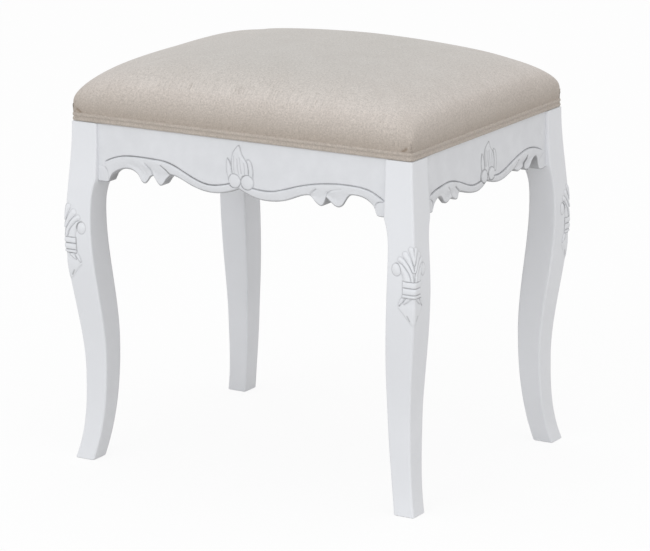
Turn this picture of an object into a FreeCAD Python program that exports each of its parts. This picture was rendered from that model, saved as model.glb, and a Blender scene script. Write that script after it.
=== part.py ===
import FreeCAD, Part
import math
import os
from collections import namedtuple

# A painted stool: four square-section cabriole legs, four carved and scalloped aprons dowelled between them,
# glued and screwed corner blocks, and a crowned pad of foam, wadding and linen on a board, edged with double welt.
# Z is up, the long side lies along X, and the origin is on the floor under the middle of the seat.

# Frame
frame_width = 436.0
frame_depth = 337.0
frame_height = 390.0
leg_post = 33.5
apron_thickness = 20.0
apron_setback = 2.4

# Cabriole leg: each swing is how far the outer face stands out from the post's outer face, each back is how far
# the inner face lies behind that same face, each slope is sideways run over height, and each station is a share
# of the height from the floor to the foot of the aprons
foot_swing = 3.3
foot_side = 25.0
foot_outer_slope = -0.29
foot_inner_slope = -0.25
ankle_station = 0.306
ankle_swing = -6.8
knee_station = 0.802
knee_swing = 7.2
calf_station = 0.413
calf_back = 35.8
knee_hollow_station = 0.873
knee_hollow_back = 27.0
knee_hollow_slope = -0.45
leg_edge_chamfer = 1.6

# Leaf carved over the corner of the knee: heights from the knee, reaches square to the leg's diagonal
leaf_relief = 0.8
leaf_top = 34.0
leaf_shoulder = 28.0
leaf_shoulder_reach = 11.0
leaf_curl_top = 17.0
leaf_curl_reach = 18.5
leaf_curl_bottom = 6.0
leaf_waist_top = 0.0
leaf_waist_reach = 8.5
leaf_waist_bottom = -18.0
leaf_tip_reach = 11.5
leaf_tip = -25.0
leaf_point = -52.0

# Apron outline: drops below the top of the wood, stations as shares of the apron's half length
cusp_drop = 54.0
belly_drop = 62.8
bead_end_drop = 49.2
lobe_drop = 60.2
notch_drop = 50.0
arch_drop = 45.8
end_block_drop = 63.5
belly_station = 0.19
bead_end_station = 0.484
inner_lobe_station = 0.558
notch_station = 0.602
outer_lobe_station = 0.673
arch_station = 0.79
end_block_station = 0.93
short_belly_drop = 60.0
short_bead_end_drop = 53.2
short_lobe_drop = 59.4
short_notch_drop = 55.3
short_arch_drop = 49.0
short_belly_station = 0.18
short_bead_end_station = 0.445
short_inner_lobe_station = 0.515
short_notch_station = 0.594
short_outer_lobe_station = 0.68
short_arch_station = 0.8
short_end_block_station = 0.889

# Slopes of that outline, drop over run, on leaving or reaching a point
cusp_slope = 0.45
inner_lobe_slope = 1.05
notch_near_slope = -0.9
notch_far_slope = 0.6
short_notch_near_slope = -0.35
short_notch_far_slope = 0.5
end_block_slope = 2.2

# Carving raised above the plain field of the apron
carving_relief = 1.5
groove_centre_drop = 47.0
groove_dip_drop = 53.4
groove_crest_drop = 33.7
short_groove_dip_drop = 51.6
short_groove_crest_drop = 36.7
groove_end_drop = 49.0
groove_dip_station = 0.198
groove_crest_station = 0.6
groove_shoulder_station = 0.73
groove_centre_slope = 0.4
groove_end_slope = 0.8
lobe_cut_width = 1.2
lobe_cut_rise = 9.5
lobe_cut_lean = 11.0
flame_tip_drop = 6.5
flame_widest_drop = 33.0
flame_foot_drop = 44.5
flame_half_width = 17.0
flame_foot_half_width = 13.0
flame_tip_way = (1, 1)
berry_radius = 8.0
berry_spread = 7.8
berry_relief = 2.6

# Sides of the dowels, of the screws and of their holes
rod_sides = 8

# Dowels, two in each joint between an apron and a leg
dowel_radius = 4.0
dowel_length = 34.0
dowel_upper_drop = 16.0
dowel_lower_drop = 36.0
dowel_fit = 0.05

# Corner blocks and their screws
block_reach = 58.0
block_height = 28.0
block_top_gap = 3.0
block_leg_gap = 0.5
screw_radius = 2.0
screw_head_radius = 4.0
screw_head_height = 2.6
screw_fit = 0.1
block_screw_grip = 16.0
block_screw_bite = 12.0
block_screw_offset = 25.0
seat_screw_offset = 8.0
seat_screw_bite = 9.0

# Seat pad, from the board outwards
seat_inset = 1.0
pad_corner_radius = 7.0
pad_inner_radius = 2.0
pad_draw_in = 1.2
pad_side_height = 15.5
crown_height = 67.0
crown_fullness = 0.26
crown_roundness = 2.06
crown_corner_limit = 0.95
crown_reaches = (0.9997, 0.995, 0.975, 0.93, 0.86, 0.76, 0.62, 0.44, 0.22)
corner_chords = 5
board_thickness = 12.0
linen_thickness = 1.2
wadding_thickness = 6.0
soft_clearance = 0.3
hem_width = 44.0
hem_corner_radius = 12.0
welt_height = 10.0
welt_bulge = 1.7
welt_web = 0.3
welt_bead_chords = 4
dust_cover_thickness = 0.6
dust_cover_gap = 3.0

# Staples under the board
staple_crown = 10.0
staple_wire = 1.0
staple_leg = 7.0
staple_spacing = 55.0
linen_staple_inset = 37.0
dust_staple_inset = 6.0

V = FreeCAD.Vector
UP = V(0, 0, 1)
ORIGIN = V(0, 0, 0)
STRAIGHT = 0.0001
half_width = frame_width / 2
half_depth = frame_depth / 2
apron_bottom = frame_height - end_block_drop
ankle_height = ankle_station * apron_bottom
knee_height = knee_station * apron_bottom
calf_height = calf_station * apron_bottom
knee_hollow_height = knee_hollow_station * apron_bottom
apron_back = apron_setback + apron_thickness
opening_x = half_width - apron_back
opening_y = half_depth - apron_back
long_apron_length = frame_width - 2 * leg_post
short_apron_length = frame_depth - 2 * leg_post
block_top = frame_height - block_top_gap
block_bottom = block_top - block_height
pad_half_x = half_width - seat_inset
pad_half_y = half_depth - seat_inset
board_bottom = frame_height + linen_thickness
board_top = board_bottom + board_thickness
carving_marks = "belly bead_end inner_lobe notch outer_lobe arch block"
carving_shape = "notch_near notch_far dip crest"
Carving = namedtuple("Carving", carving_marks + " " + carving_shape)
long_carving = Carving(
    (belly_station, belly_drop),
    (bead_end_station, bead_end_drop),
    (inner_lobe_station, lobe_drop),
    (notch_station, notch_drop),
    (outer_lobe_station, lobe_drop),
    (arch_station, arch_drop),
    (end_block_station, end_block_drop),
    notch_near_slope,
    notch_far_slope,
    groove_dip_drop,
    groove_crest_drop,
)
short_carving = Carving(
    (short_belly_station, short_belly_drop),
    (short_bead_end_station, short_bead_end_drop),
    (short_inner_lobe_station, short_lobe_drop),
    (short_notch_station, short_notch_drop),
    (short_outer_lobe_station, short_lobe_drop),
    (short_arch_station, short_arch_drop),
    (short_end_block_station, end_block_drop),
    short_notch_near_slope,
    short_notch_far_slope,
    short_groove_dip_drop,
    short_groove_crest_drop,
)
leg_names = {"front_left": (-1, -1), "front_right": (1, -1), "rear_left": (-1, 1), "rear_right": (1, 1)}


def line(a, b):
    return Part.makeLine(a, b)


def arc_from(start, way, end, place):
    """Edge between two flat points that leaves start along way: an arc, or a line where nothing turns."""
    run = (end[0] - start[0], end[1] - start[1])
    turn = math.atan2(way[0] * run[1] - way[1] * run[0], way[0] * run[0] + way[1] * run[1])
    if abs(turn) < STRAIGHT:
        return line(place(*start), place(*end))
    bulge = math.tan(turn / 2) / 2
    middle = (
        (start[0] + end[0]) / 2 + run[1] * bulge,
        (start[1] + end[1]) / 2 - run[0] * bulge,
    )
    return Part.Arc(place(*start), place(*middle), place(*end)).toShape()


def two_arcs(start, start_way, end, end_way, place):
    """Two arcs that meet smoothly, from start along start_way to end along end_way."""
    first = unit(start_way)
    last = unit(end_way)
    run = (end[0] - start[0], end[1] - start[1])
    along = run[0] * (first[0] + last[0]) + run[1] * (first[1] + last[1])
    square = run[0] ** 2 + run[1] ** 2
    spread = 2 * (1 - first[0] * last[0] - first[1] * last[1])
    if spread < STRAIGHT**2:
        reach = square / (2 * along)
    else:
        reach = (math.sqrt(along**2 + spread * square) - along) / spread
    meeting = [(start[i] + end[i] + reach * (first[i] - last[i])) / 2 for i in (0, 1)]
    back = arc_from(end, (-last[0], -last[1]), meeting, place)
    return [arc_from(start, first, meeting, place), back]


def unit(way):
    size = math.hypot(*way)
    return (way[0] / size, way[1] / size)


def solid_from(edges, direction):
    """Solid swept from a closed flat outline along a vector."""
    return Part.Face(Part.Wire(edges)).extrude(direction)


def flat_face(points):
    """Face with straight edges through these points."""
    return Part.Face(Part.makePolygon(points + points[:1]))


def stack(outlines):
    """Solid through level outlines of equal count, from the lowest up, with flat strips between them."""
    faces = [flat_face(outlines[0]), flat_face(outlines[-1])]
    for low, high in zip(outlines, outlines[1:]):
        for i in range(len(low)):
            faces.append(flat_face([low[i - 1], low[i], high[i], high[i - 1]]))
    return Part.Solid(Part.Shell(faces))


def fused(shapes):
    """One clean solid from several that meet."""
    whole = shapes[0].multiFuse(shapes[1:])
    return whole.removeSplitter()


def mirrored(shape, sign_x, sign_y):
    """A shape of the right rear corner, moved to the corner with these signs."""
    moved = shape
    if sign_x < 0:
        moved = moved.mirror(ORIGIN, V(1, 0, 0))
    if sign_y < 0:
        moved = moved.mirror(ORIGIN, V(0, 1, 0))
    return moved


def rod(radius, length, base, direction):
    """Straight rod with flat sides round it, from base along direction."""
    corners = [V(radius, 0, 0)]
    for i in range(1, rod_sides):
        corners.append(FreeCAD.Rotation(UP, 360 * i / rod_sides).multVec(corners[0]))
    turn = FreeCAD.Rotation(UP, direction)
    points = [base + turn.multVec(corner) for corner in corners]
    return flat_face(points).extrude(direction * length)


# Legs


def leg_point(swing, height):
    return V(swing, 0, height)


def leg_curve(low, low_slope, high, high_slope):
    """Cubic curve of the leg's profile between two (swing, height) points."""
    rise = (high[1] - low[1]) / 3
    low_pole = (low[0] + low_slope * rise, low[1] + rise)
    high_pole = (high[0] - high_slope * rise, high[1] - rise)
    curve = Part.BezierCurve()
    curve.setPoles([leg_point(*pole) for pole in (low, low_pole, high_pole, high)])
    return curve.toShape()


def leg_profile(swell):
    """Outline of the leg seen square to one face, with the outer face raised by swell."""
    foot_out = (foot_swing + swell, 0)
    foot_in = (foot_swing - foot_side, 0)
    ankle = (ankle_swing + swell, ankle_height)
    knee = (knee_swing + swell, knee_height)
    calf = (-calf_back, calf_height)
    hollow = (-knee_hollow_back, knee_hollow_height)
    post_foot = (-leg_post, apron_bottom)
    post_top = (-leg_post, frame_height)
    top = (swell, frame_height)
    edges = [
        leg_curve(foot_out, foot_outer_slope, ankle, 0),
        leg_curve(ankle, 0, knee, 0),
        leg_curve(knee, 0, top, 0),
        leg_curve(foot_in, foot_inner_slope, calf, 0),
        leg_curve(calf, 0, hollow, 0),
        leg_curve(hollow, 0, post_foot, knee_hollow_slope),
    ]
    straight = [(post_foot, post_top), (post_top, top), (foot_in, foot_out)]
    edges += [line(leg_point(*a), leg_point(*b)) for a, b in straight]
    return Part.sortEdges(edges)[0]


def sawn_leg(swell):
    """The leg sawn to its profile from two sides, with its long edges eased, at the right rear corner."""
    span = 2 * (leg_post + knee_swing + swell)
    slab = solid_from(leg_profile(swell), V(0, span, 0))
    slab.translate(V(0, -span / 2, 0))
    turned = slab.copy()
    turned.rotate(ORIGIN, UP, 90)
    turned = turned.mirror(ORIGIN, V(1, 0, 0))
    leg = slab.common(turned)
    long_edges = [edge for edge in leg.Edges if edge.BoundBox.ZLength > leg_post]
    leg = leg.makeChamfer(leg_edge_chamfer, long_edges)
    leg.translate(V(half_width, half_depth, 0))
    return leg


def leaf_outline():
    """Half outline of the knee leaf, seen along the leg's diagonal, as (reach, height) points."""
    return [
        (0, leaf_top),
        (leaf_shoulder_reach, leaf_shoulder),
        (leaf_curl_reach, leaf_curl_top),
        (leaf_curl_reach, leaf_curl_bottom),
        (leaf_waist_reach, leaf_waist_top),
        (leaf_waist_reach, leaf_waist_bottom),
        (leaf_tip_reach, leaf_tip),
        (0, leaf_point),
    ]


def knee_leaf():
    """Raised leaf that wraps the outer corner of the knee."""
    half = leaf_outline()
    whole = half + [(-reach, height) for reach, height in reversed(half[1:-1])]
    corners = [V(reach, 0, knee_height + height) for reach, height in whole]
    stamp = flat_face(corners).extrude(V(0, 2 * leg_post, 0))
    stamp.rotate(ORIGIN, UP, -45)
    stamp.translate(V(half_width - leg_post / 2, half_depth - leg_post / 2, 0))
    return sawn_leg(leaf_relief).common(stamp)


def dowel_axes(sign_x, sign_y):
    """Start and direction of each dowel at a corner, from the middle of the joint into the apron."""
    axes = []
    for drop in (dowel_upper_drop, dowel_lower_drop):
        height = frame_height - drop
        middle = apron_setback + apron_thickness / 2
        along_x = V(sign_x * (half_width - leg_post), sign_y * (half_depth - middle), height)
        along_y = V(sign_x * (half_width - middle), sign_y * (half_depth - leg_post), height)
        axes.append((along_x, V(-sign_x, 0, 0)))
        axes.append((along_y, V(0, -sign_y, 0)))
    return axes


def dowels_at(sign_x, sign_y, radius, extra):
    """Dowels of one corner, or with a larger radius and length the holes for them."""
    length = dowel_length + 2 * extra
    axes = dowel_axes(sign_x, sign_y)
    return [rod(radius, length, start - axis * (length / 2), axis) for start, axis in axes]


def all_dowel_holes():
    holes = []
    for signs in leg_names.values():
        holes += dowels_at(*signs, dowel_radius + dowel_fit, dowel_fit)
    return Part.makeCompound(holes)


# Aprons, drawn facing the front and turned to their side


def at(along, drop):
    return V(along, 0, frame_height - drop)


def bend(start, start_slope, end, end_slope):
    """Curve of the apron's outline between two (along, drop) points with a slope at each."""
    return two_arcs(start, (1, start_slope), end, (1, end_slope), at)


def placed(half, mark):
    """Place on an apron of this half length of a mark, given as (station, drop)."""
    return (mark[0] * half, mark[1])


def lower_edge(half, marks):
    """Scalloped lower edge from the middle of the apron to its end."""
    cusp = (0, cusp_drop)
    belly = placed(half, marks.belly)
    bead_end = placed(half, marks.bead_end)
    inner_lobe = placed(half, marks.inner_lobe)
    notch = placed(half, marks.notch)
    outer_lobe = placed(half, marks.outer_lobe)
    arch = placed(half, marks.arch)
    block = placed(half, marks.block)
    edges = bend(cusp, cusp_slope, belly, 0) + bend(belly, 0, bead_end, 0)
    edges += bend(bead_end, inner_lobe_slope, inner_lobe, 0) + bend(inner_lobe, 0, notch, marks.notch_near)
    edges += bend(notch, marks.notch_far, outer_lobe, 0) + bend(outer_lobe, 0, arch, 0)
    edges += bend(arch, 0, block, end_block_slope)
    return edges + [line(at(*block), at(half, end_block_drop))]


def groove_edge(half, marks):
    """Upper limit of the raised band, from the middle of the apron to its end."""
    middle = (0, groove_centre_drop)
    dip = (groove_dip_station * half, marks.dip)
    crest = (groove_crest_station * half, marks.crest)
    shoulder = (groove_shoulder_station * half, marks.crest)
    end = (half, groove_end_drop)
    edges = bend(middle, groove_centre_slope, dip, 0) + bend(dip, 0, crest, 0)
    edges += [line(at(*crest), at(*shoulder))]
    return edges + bend(shoulder, 0, end, groove_end_slope)


def lobe_cuts(half, marks):
    """Cuts that part the bead from the lobes and the lobes from each other."""
    cuts = []
    for mark in (marks.bead_end, marks.notch):
        low, drop = placed(half, mark)
        high = low + lobe_cut_lean
        corners = [
            at(low - lobe_cut_width / 2, drop + lobe_cut_width),
            at(low + lobe_cut_width / 2, drop + lobe_cut_width),
            at(high + lobe_cut_width / 2, drop - lobe_cut_rise),
            at(high - lobe_cut_width / 2, drop - lobe_cut_rise),
        ]
        cuts.append(flat_face(corners).extrude(V(0, -carving_relief, 0)))
    return Part.makeCompound(cuts)


def flame():
    """Half of the raised flame at the middle of the apron."""
    tip = (0, flame_tip_drop)
    widest = (flame_half_width, flame_widest_drop)
    foot = (flame_foot_half_width, flame_foot_drop)
    side = two_arcs(tip, flame_tip_way, widest, (0, 1), at)
    skirt = two_arcs(widest, (0, 1), foot, (0, 1), at)
    lines = [line(at(*foot), at(0, flame_foot_drop)), line(at(0, flame_foot_drop), at(*tip))]
    return solid_from(side + skirt + lines, V(0, -carving_relief, 0))


def apron(length, face_distance, turn, marks):
    """Carved apron with its plain field face_distance from the middle, turned about Z."""
    half = length / 2
    low = lower_edge(half, marks)
    outline = low + [
        line(at(half, end_block_drop), at(half, 0)),
        line(at(half, 0), at(0, 0)),
        line(at(0, 0), at(0, cusp_drop)),
    ]
    board = solid_from(outline, V(0, apron_thickness, 0))
    band_outline = (
        low
        + groove_edge(half, marks)
        + [
            line(at(half, end_block_drop), at(half, groove_end_drop)),
            line(at(0, cusp_drop), at(0, groove_centre_drop)),
        ]
    )
    band = solid_from(Part.sortEdges(band_outline)[0], V(0, -carving_relief, 0))
    band = band.cut(lobe_cuts(half, marks))
    berry = rod(berry_radius, berry_relief, at(berry_spread, flame_foot_drop), V(0, -1, 0))
    one_side = [board, band, flame(), berry]
    other_side = [shape.mirror(ORIGIN, V(1, 0, 0)) for shape in one_side]
    whole = fused(one_side + other_side)
    whole.translate(V(0, -face_distance, 0))
    whole.rotate(ORIGIN, UP, turn)
    return whole


# Corner blocks and screws


def corner_block():
    """Glued block that fits round the leg between two aprons, at the right rear corner."""
    leg_x = half_width - leg_post - block_leg_gap
    leg_y = half_depth - leg_post - block_leg_gap
    corners = [
        V(opening_x, leg_y, block_bottom),
        V(leg_x, leg_y, block_bottom),
        V(leg_x, opening_y, block_bottom),
        V(opening_x - block_reach, opening_y, block_bottom),
        V(opening_x, opening_y - block_reach, block_bottom),
    ]
    return flat_face(corners).extrude(UP * block_height)


def screw(head_seat, direction, length, fit):
    """Screw whose head bears on head_seat, or with a fit the hole for its shank."""
    shank = rod(screw_radius + fit, length, head_seat, direction)
    if fit:
        return shank
    head = rod(screw_head_radius, screw_head_height, head_seat - direction * screw_head_height, direction)
    return shank.fuse(head)


def block_screw_seats():
    """Head seat and direction of the two screws that hold a block to its aprons."""
    height = block_bottom + block_height / 2
    leg_x = half_width - leg_post
    leg_y = half_depth - leg_post
    into_x = V(opening_x - block_screw_grip, leg_y - block_screw_offset, height)
    into_y = V(leg_x - block_screw_offset, opening_y - block_screw_grip, height)
    return [(into_x, V(1, 0, 0)), (into_y, V(0, 1, 0))]


def block_screws(fit):
    length = block_screw_grip + block_screw_bite + fit
    return [screw(seat, direction, length, fit) for seat, direction in block_screw_seats()]


def block_screw_pockets():
    """Flat-bottomed pockets in the block's long face, where the screw heads sit."""
    radius = screw_head_radius + screw_fit
    return [rod(radius, block_reach, seat - way * block_reach, way) for seat, way in block_screw_seats()]


def seat_screw(fit):
    """Screw up through the block into the seat board."""
    inset = leg_post + block_leg_gap + seat_screw_offset
    seat = V(half_width - inset, half_depth - inset, block_bottom)
    length = board_bottom + seat_screw_bite + fit - block_bottom
    return screw(seat, UP, length, fit)


def at_all_corners(shapes):
    return [mirrored(shape, *signs) for signs in leg_names.values() for shape in shapes]


# Seat pad


def rounded_rectangle(half_x, half_y, radius, height):
    """Level outline of four straight sides and four corners, each corner an arc laid off in chords."""
    points = []
    for quarter, (side_x, side_y) in enumerate([(1, 1), (-1, 1), (-1, -1), (1, -1)]):
        centre = V(side_x * (half_x - radius), side_y * (half_y - radius), height)
        for chord in range(corner_chords + 1):
            turn = FreeCAD.Rotation(UP, 90 * (quarter + chord / corner_chords))
            points.append(centre + turn.multVec(V(radius, 0, 0)))
    return points


def pad_outline(inset, height):
    """Outline of the pad's upright side, inset from the linen's face."""
    radius = max(pad_corner_radius - inset, pad_inner_radius)
    return rounded_rectangle(pad_half_x - inset, pad_half_y - inset, radius, height)


def crown_outline(inset, reach):
    """Outline of the crown where it has drawn in to this share of the pad's sides."""
    fall = 1 - reach**crown_roundness
    diagonal = (1 - math.sqrt(fall)) ** (1 / crown_roundness)
    half_x = (pad_half_x - inset) * reach
    half_y = (pad_half_y - inset) * reach
    swept = (half_x + half_y) / 2 * (1 - diagonal / reach) / (1 - math.sqrt(0.5))
    least = max(pad_corner_radius - inset, pad_inner_radius)
    radius = min(max(swept, least), crown_corner_limit * half_y)
    height = frame_height + pad_side_height + fall**crown_fullness * (crown_height - inset)
    return rounded_rectangle(half_x, half_y, radius, height)


def pad_form(inset, bottom):
    """Crowned pad, drawn in at its foot, inset from the linen's face and cut off level at bottom."""
    outlines = [
        pad_outline(inset + pad_draw_in, bottom),
        pad_outline(inset + pad_draw_in, frame_height + welt_height),
        pad_outline(inset, frame_height + pad_side_height),
    ]
    return stack(outlines + [crown_outline(inset, reach) for reach in crown_reaches])


def seat_board():
    inset = linen_thickness + soft_clearance + pad_draw_in
    return flat_face(pad_outline(inset, board_bottom)).extrude(UP * board_thickness)


def upper_pad(inset):
    """The part of the pad above the board."""
    form = pad_form(inset, board_bottom)
    span = 2 * frame_width
    above = Part.makeBox(span, span, span, V(-span / 2, -span / 2, board_top))
    return form.common(above)


def wadding():
    outer = linen_thickness + soft_clearance
    return upper_pad(outer).cut(upper_pad(outer + wadding_thickness))


def foam_pad():
    return upper_pad(linen_thickness + wadding_thickness + 2 * soft_clearance)


def linen_cover():
    """Linen over the pad, turned under the board to a hem."""
    skin = pad_form(0, frame_height).cut(pad_form(linen_thickness, board_bottom))
    half_x = pad_half_x - hem_width
    half_y = pad_half_y - hem_width
    window = flat_face(rounded_rectangle(half_x, half_y, hem_corner_radius, frame_height))
    return skin.cut(window.extrude(UP * linen_thickness))


def double_welt():
    """Two half-round beads joined by a web, round the foot of the pad, standing on the frame."""
    inset = pad_draw_in - soft_clearance
    bead = welt_height / 2
    outlines = []
    for step in range(2 * welt_bead_chords + 1):
        turn = math.pi * step / welt_bead_chords
        height = frame_height + bead * (step // welt_bead_chords)
        height += bead * (1 - math.cos(turn % math.pi)) / 2
        bulge = welt_web + (welt_bulge - welt_web) * abs(math.sin(turn))
        outlines.append(pad_outline(inset - bulge, height))
    core = flat_face(pad_outline(inset, frame_height)).extrude(UP * welt_height)
    return stack(outlines).cut(core)


# Dust cover and staples


def dust_cover():
    """Thin cloth under the board, inside the aprons and clear of the corner blocks."""
    edge_x = opening_x - dust_cover_gap
    edge_y = opening_y - dust_cover_gap
    snip = block_reach
    quarter = [(edge_x, edge_y - snip), (edge_x - snip, edge_y)]
    half = quarter + [(-x, y) for x, y in reversed(quarter)]
    corners = half + [(-x, -y) for x, y in half]
    points = [V(x, y, frame_height) for x, y in corners]
    return flat_face(points).extrude(UP * -dust_cover_thickness)


def staple(x, y, along_x, base):
    """Staple with its crown on base and its legs upwards."""
    half = staple_crown / 2
    wire = staple_wire
    corners = [
        (-half, 0),
        (half, 0),
        (half, staple_leg),
        (half - wire, staple_leg),
        (half - wire, wire / 2),
        (-half + wire, wire / 2),
        (-half + wire, staple_leg),
        (-half, staple_leg),
    ]
    points = [V(across, -wire / 2, rise) for across, rise in corners]
    shape = flat_face(points).extrude(V(0, wire, 0))
    if not along_x:
        shape.rotate(ORIGIN, UP, 90)
    shape.translate(V(x, y, base))
    return shape


def row_of(length):
    """Even places along a side, kept clear of its corners."""
    count = max(2, round(length / staple_spacing))
    step = length / count
    return [(i + 0.5) * step - length / 2 for i in range(count)]


def staple_ring(half_x, half_y, base):
    """Staples round a rectangle of these half sides."""
    clear = 2 * (leg_post + block_reach - apron_back)
    ring = []
    for x in row_of(2 * half_x - clear):
        ring += [staple(x, half_y, True, base), staple(x, -half_y, True, base)]
    for y in row_of(2 * half_y - clear):
        ring += [staple(half_x, y, False, base), staple(-half_x, y, False, base)]
    return ring


def linen_staples():
    half_x = pad_half_x - linen_staple_inset
    half_y = pad_half_y - linen_staple_inset
    return staple_ring(half_x, half_y, frame_height)


def dust_cover_staples():
    half_x = opening_x - dust_cover_gap - dust_staple_inset
    half_y = opening_y - dust_cover_gap - dust_staple_inset
    return staple_ring(half_x, half_y, frame_height - dust_cover_thickness - staple_wire / 2)


# Assembly

dowel_holes = all_dowel_holes()
block_holes = Part.makeCompound(at_all_corners(block_screws(screw_fit)))
seat_holes = Part.makeCompound(at_all_corners([seat_screw(screw_fit)]))
linen_tacks = linen_staples()
dust_tacks = dust_cover_staples()
tacks = Part.makeCompound(linen_tacks + dust_tacks)
parts = {}

leg = fused([sawn_leg(0), knee_leaf()])
block = corner_block().cut(Part.makeCompound(block_screw_pockets()))
for name, signs in leg_names.items():
    parts["leg_" + name] = mirrored(leg, *signs).cut(dowel_holes)
    parts["corner_block_" + name] = mirrored(block, *signs).cut(block_holes).cut(seat_holes)

apron_sides = {
    "front": (long_apron_length, half_depth, 0, long_carving),
    "right": (short_apron_length, half_width, 90, short_carving),
    "rear": (long_apron_length, half_depth, 180, long_carving),
    "left": (short_apron_length, half_width, 270, short_carving),
}
for name, (length, face, turn, marks) in apron_sides.items():
    carved = apron(length, face - apron_setback, turn, marks)
    parts["apron_" + name] = carved.cut(dowel_holes).cut(block_holes)

dowels = [peg for signs in leg_names.values() for peg in dowels_at(*signs, dowel_radius, 0)]
parts["apron_dowels"] = Part.makeCompound(dowels)
parts["corner_block_screws"] = Part.makeCompound(at_all_corners(block_screws(0)))
parts["seat_screws"] = Part.makeCompound(at_all_corners([seat_screw(0)]))
parts["seat_board"] = seat_board().cut(seat_holes).cut(tacks)
parts["foam_pad"] = foam_pad()
parts["wadding"] = wadding()
parts["linen_cover"] = linen_cover().cut(seat_holes).cut(tacks)
parts["double_welt"] = double_welt()
parts["dust_cover"] = dust_cover().cut(tacks)
parts["linen_staples"] = Part.makeCompound(linen_tacks)
parts["dust_cover_staples"] = Part.makeCompound(dust_tacks)

os.makedirs("parts", exist_ok=True)
for name, shape in parts.items():
    shape.exportStep("parts/" + name + ".step")
    print(name, shape.ShapeType, len(shape.Solids), shape.isValid(), round(shape.Volume, 1))
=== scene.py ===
import math
from collections import namedtuple

import bmesh
import bpy
import numpy as np
from bpy.props import FloatProperty, FloatVectorProperty, PointerProperty
from mathutils import Matrix, Vector


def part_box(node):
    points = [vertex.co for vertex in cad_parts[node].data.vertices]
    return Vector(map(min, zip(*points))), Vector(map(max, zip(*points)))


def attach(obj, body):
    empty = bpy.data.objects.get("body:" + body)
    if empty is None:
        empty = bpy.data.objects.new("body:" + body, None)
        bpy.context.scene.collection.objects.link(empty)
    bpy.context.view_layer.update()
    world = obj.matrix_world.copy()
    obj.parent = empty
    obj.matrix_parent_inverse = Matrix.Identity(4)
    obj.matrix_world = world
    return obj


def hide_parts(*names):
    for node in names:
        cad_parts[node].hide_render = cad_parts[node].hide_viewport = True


bl_info = {
    "name": "Carved Upholstered Stool",
    "version": (1, 0, 0),
    "blender": (4, 5, 0),
    "location": "View3D > Sidebar > Stool",
    "description": "Carves and upholsters the packed frame of a painted stool and sets its stage",
    "category": "Object",
}

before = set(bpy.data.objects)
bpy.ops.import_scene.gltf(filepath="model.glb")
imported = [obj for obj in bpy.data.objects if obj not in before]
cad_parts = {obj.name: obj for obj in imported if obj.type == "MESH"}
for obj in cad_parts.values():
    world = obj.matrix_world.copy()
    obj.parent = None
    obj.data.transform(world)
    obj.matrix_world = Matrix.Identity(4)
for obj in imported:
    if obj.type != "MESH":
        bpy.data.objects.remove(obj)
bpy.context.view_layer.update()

MM = 0.001
FRAME_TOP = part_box("leg_rear_right")[1].z
LONG_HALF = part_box("apron_front")[1].x
SHORT_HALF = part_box("apron_right")[1].y
CORNERS = {"front_left": (-1, -1), "front_right": (1, -1), "rear_left": (-1, 1), "rear_right": (1, 1)}
SIDES = {"front": 0, "right": 1, "rear": 2, "left": 3}

# Carved patterns, in millimetres.
# A strand of the knee is drawn from the leg's corner: (distance from the corner, height over the knee,
# half width).
KNEE_STRANDS = (
    ((0.0, 20.0, 1.0), (0.6, 26.3, 2.0), (1.9, 31.9, 3.0), (3.3, 35.3, 3.4)),
    ((0.6, 12.0, 1.2), (3.8, 19.3, 2.6), (7.4, 25.2, 3.5), (10.6, 29.2, 3.9)),
    ((1.8, 1.0, 1.4), (3.6, 9.6, 2.1), (8.1, 16.4, 2.8), (12.7, 21.3, 3.1), (17.0, 23.8, 3.1)),
    ((8.2, 0.0, 4.8), (11.2, 9.3, 4.0), (16.3, 16.2, 3.2), (21.2, 18.4, 2.2)),
    ((12.4, -15.0, 1.9), (15.4, -21.0, 2.1), (18.4, -26.2, 1.0)),
    ((4.8, -16.0, 2.4), (8.4, -19.4, 2.4), (12.4, -23.6, 1.0)),
)
# The scroll at the end of a strand: (distance from the corner, height over the knee, half width, half
# height).
KNEE_VOLUTE = (21.8, 12.6, 5.8, 7.0)
KNEE_BANDS = ((-2.7, 3.6), (-9.9, 3.7), (-15.4, 1.9))
KNEE_BAND_REACH = 14.6
# The plain leaf under the bands: heights over the knee of its point and of its shoulders, and their
# reach. A short slit is cut beside its point.
KNEE_POINT = (-49.5, -28.5, 19.5)
KNEE_SLIT = ((7.9, -37.3, 0.0), (4.5, -42.7, 0.0))
# How much narrower the carving is on the faces to the left and right, and how far it is shifted up on a
# leg.
KNEE_SIDE = 1.3
KNEE_SHIFT = {"front_left": -3.8, "rear_left": -1.5}

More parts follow.
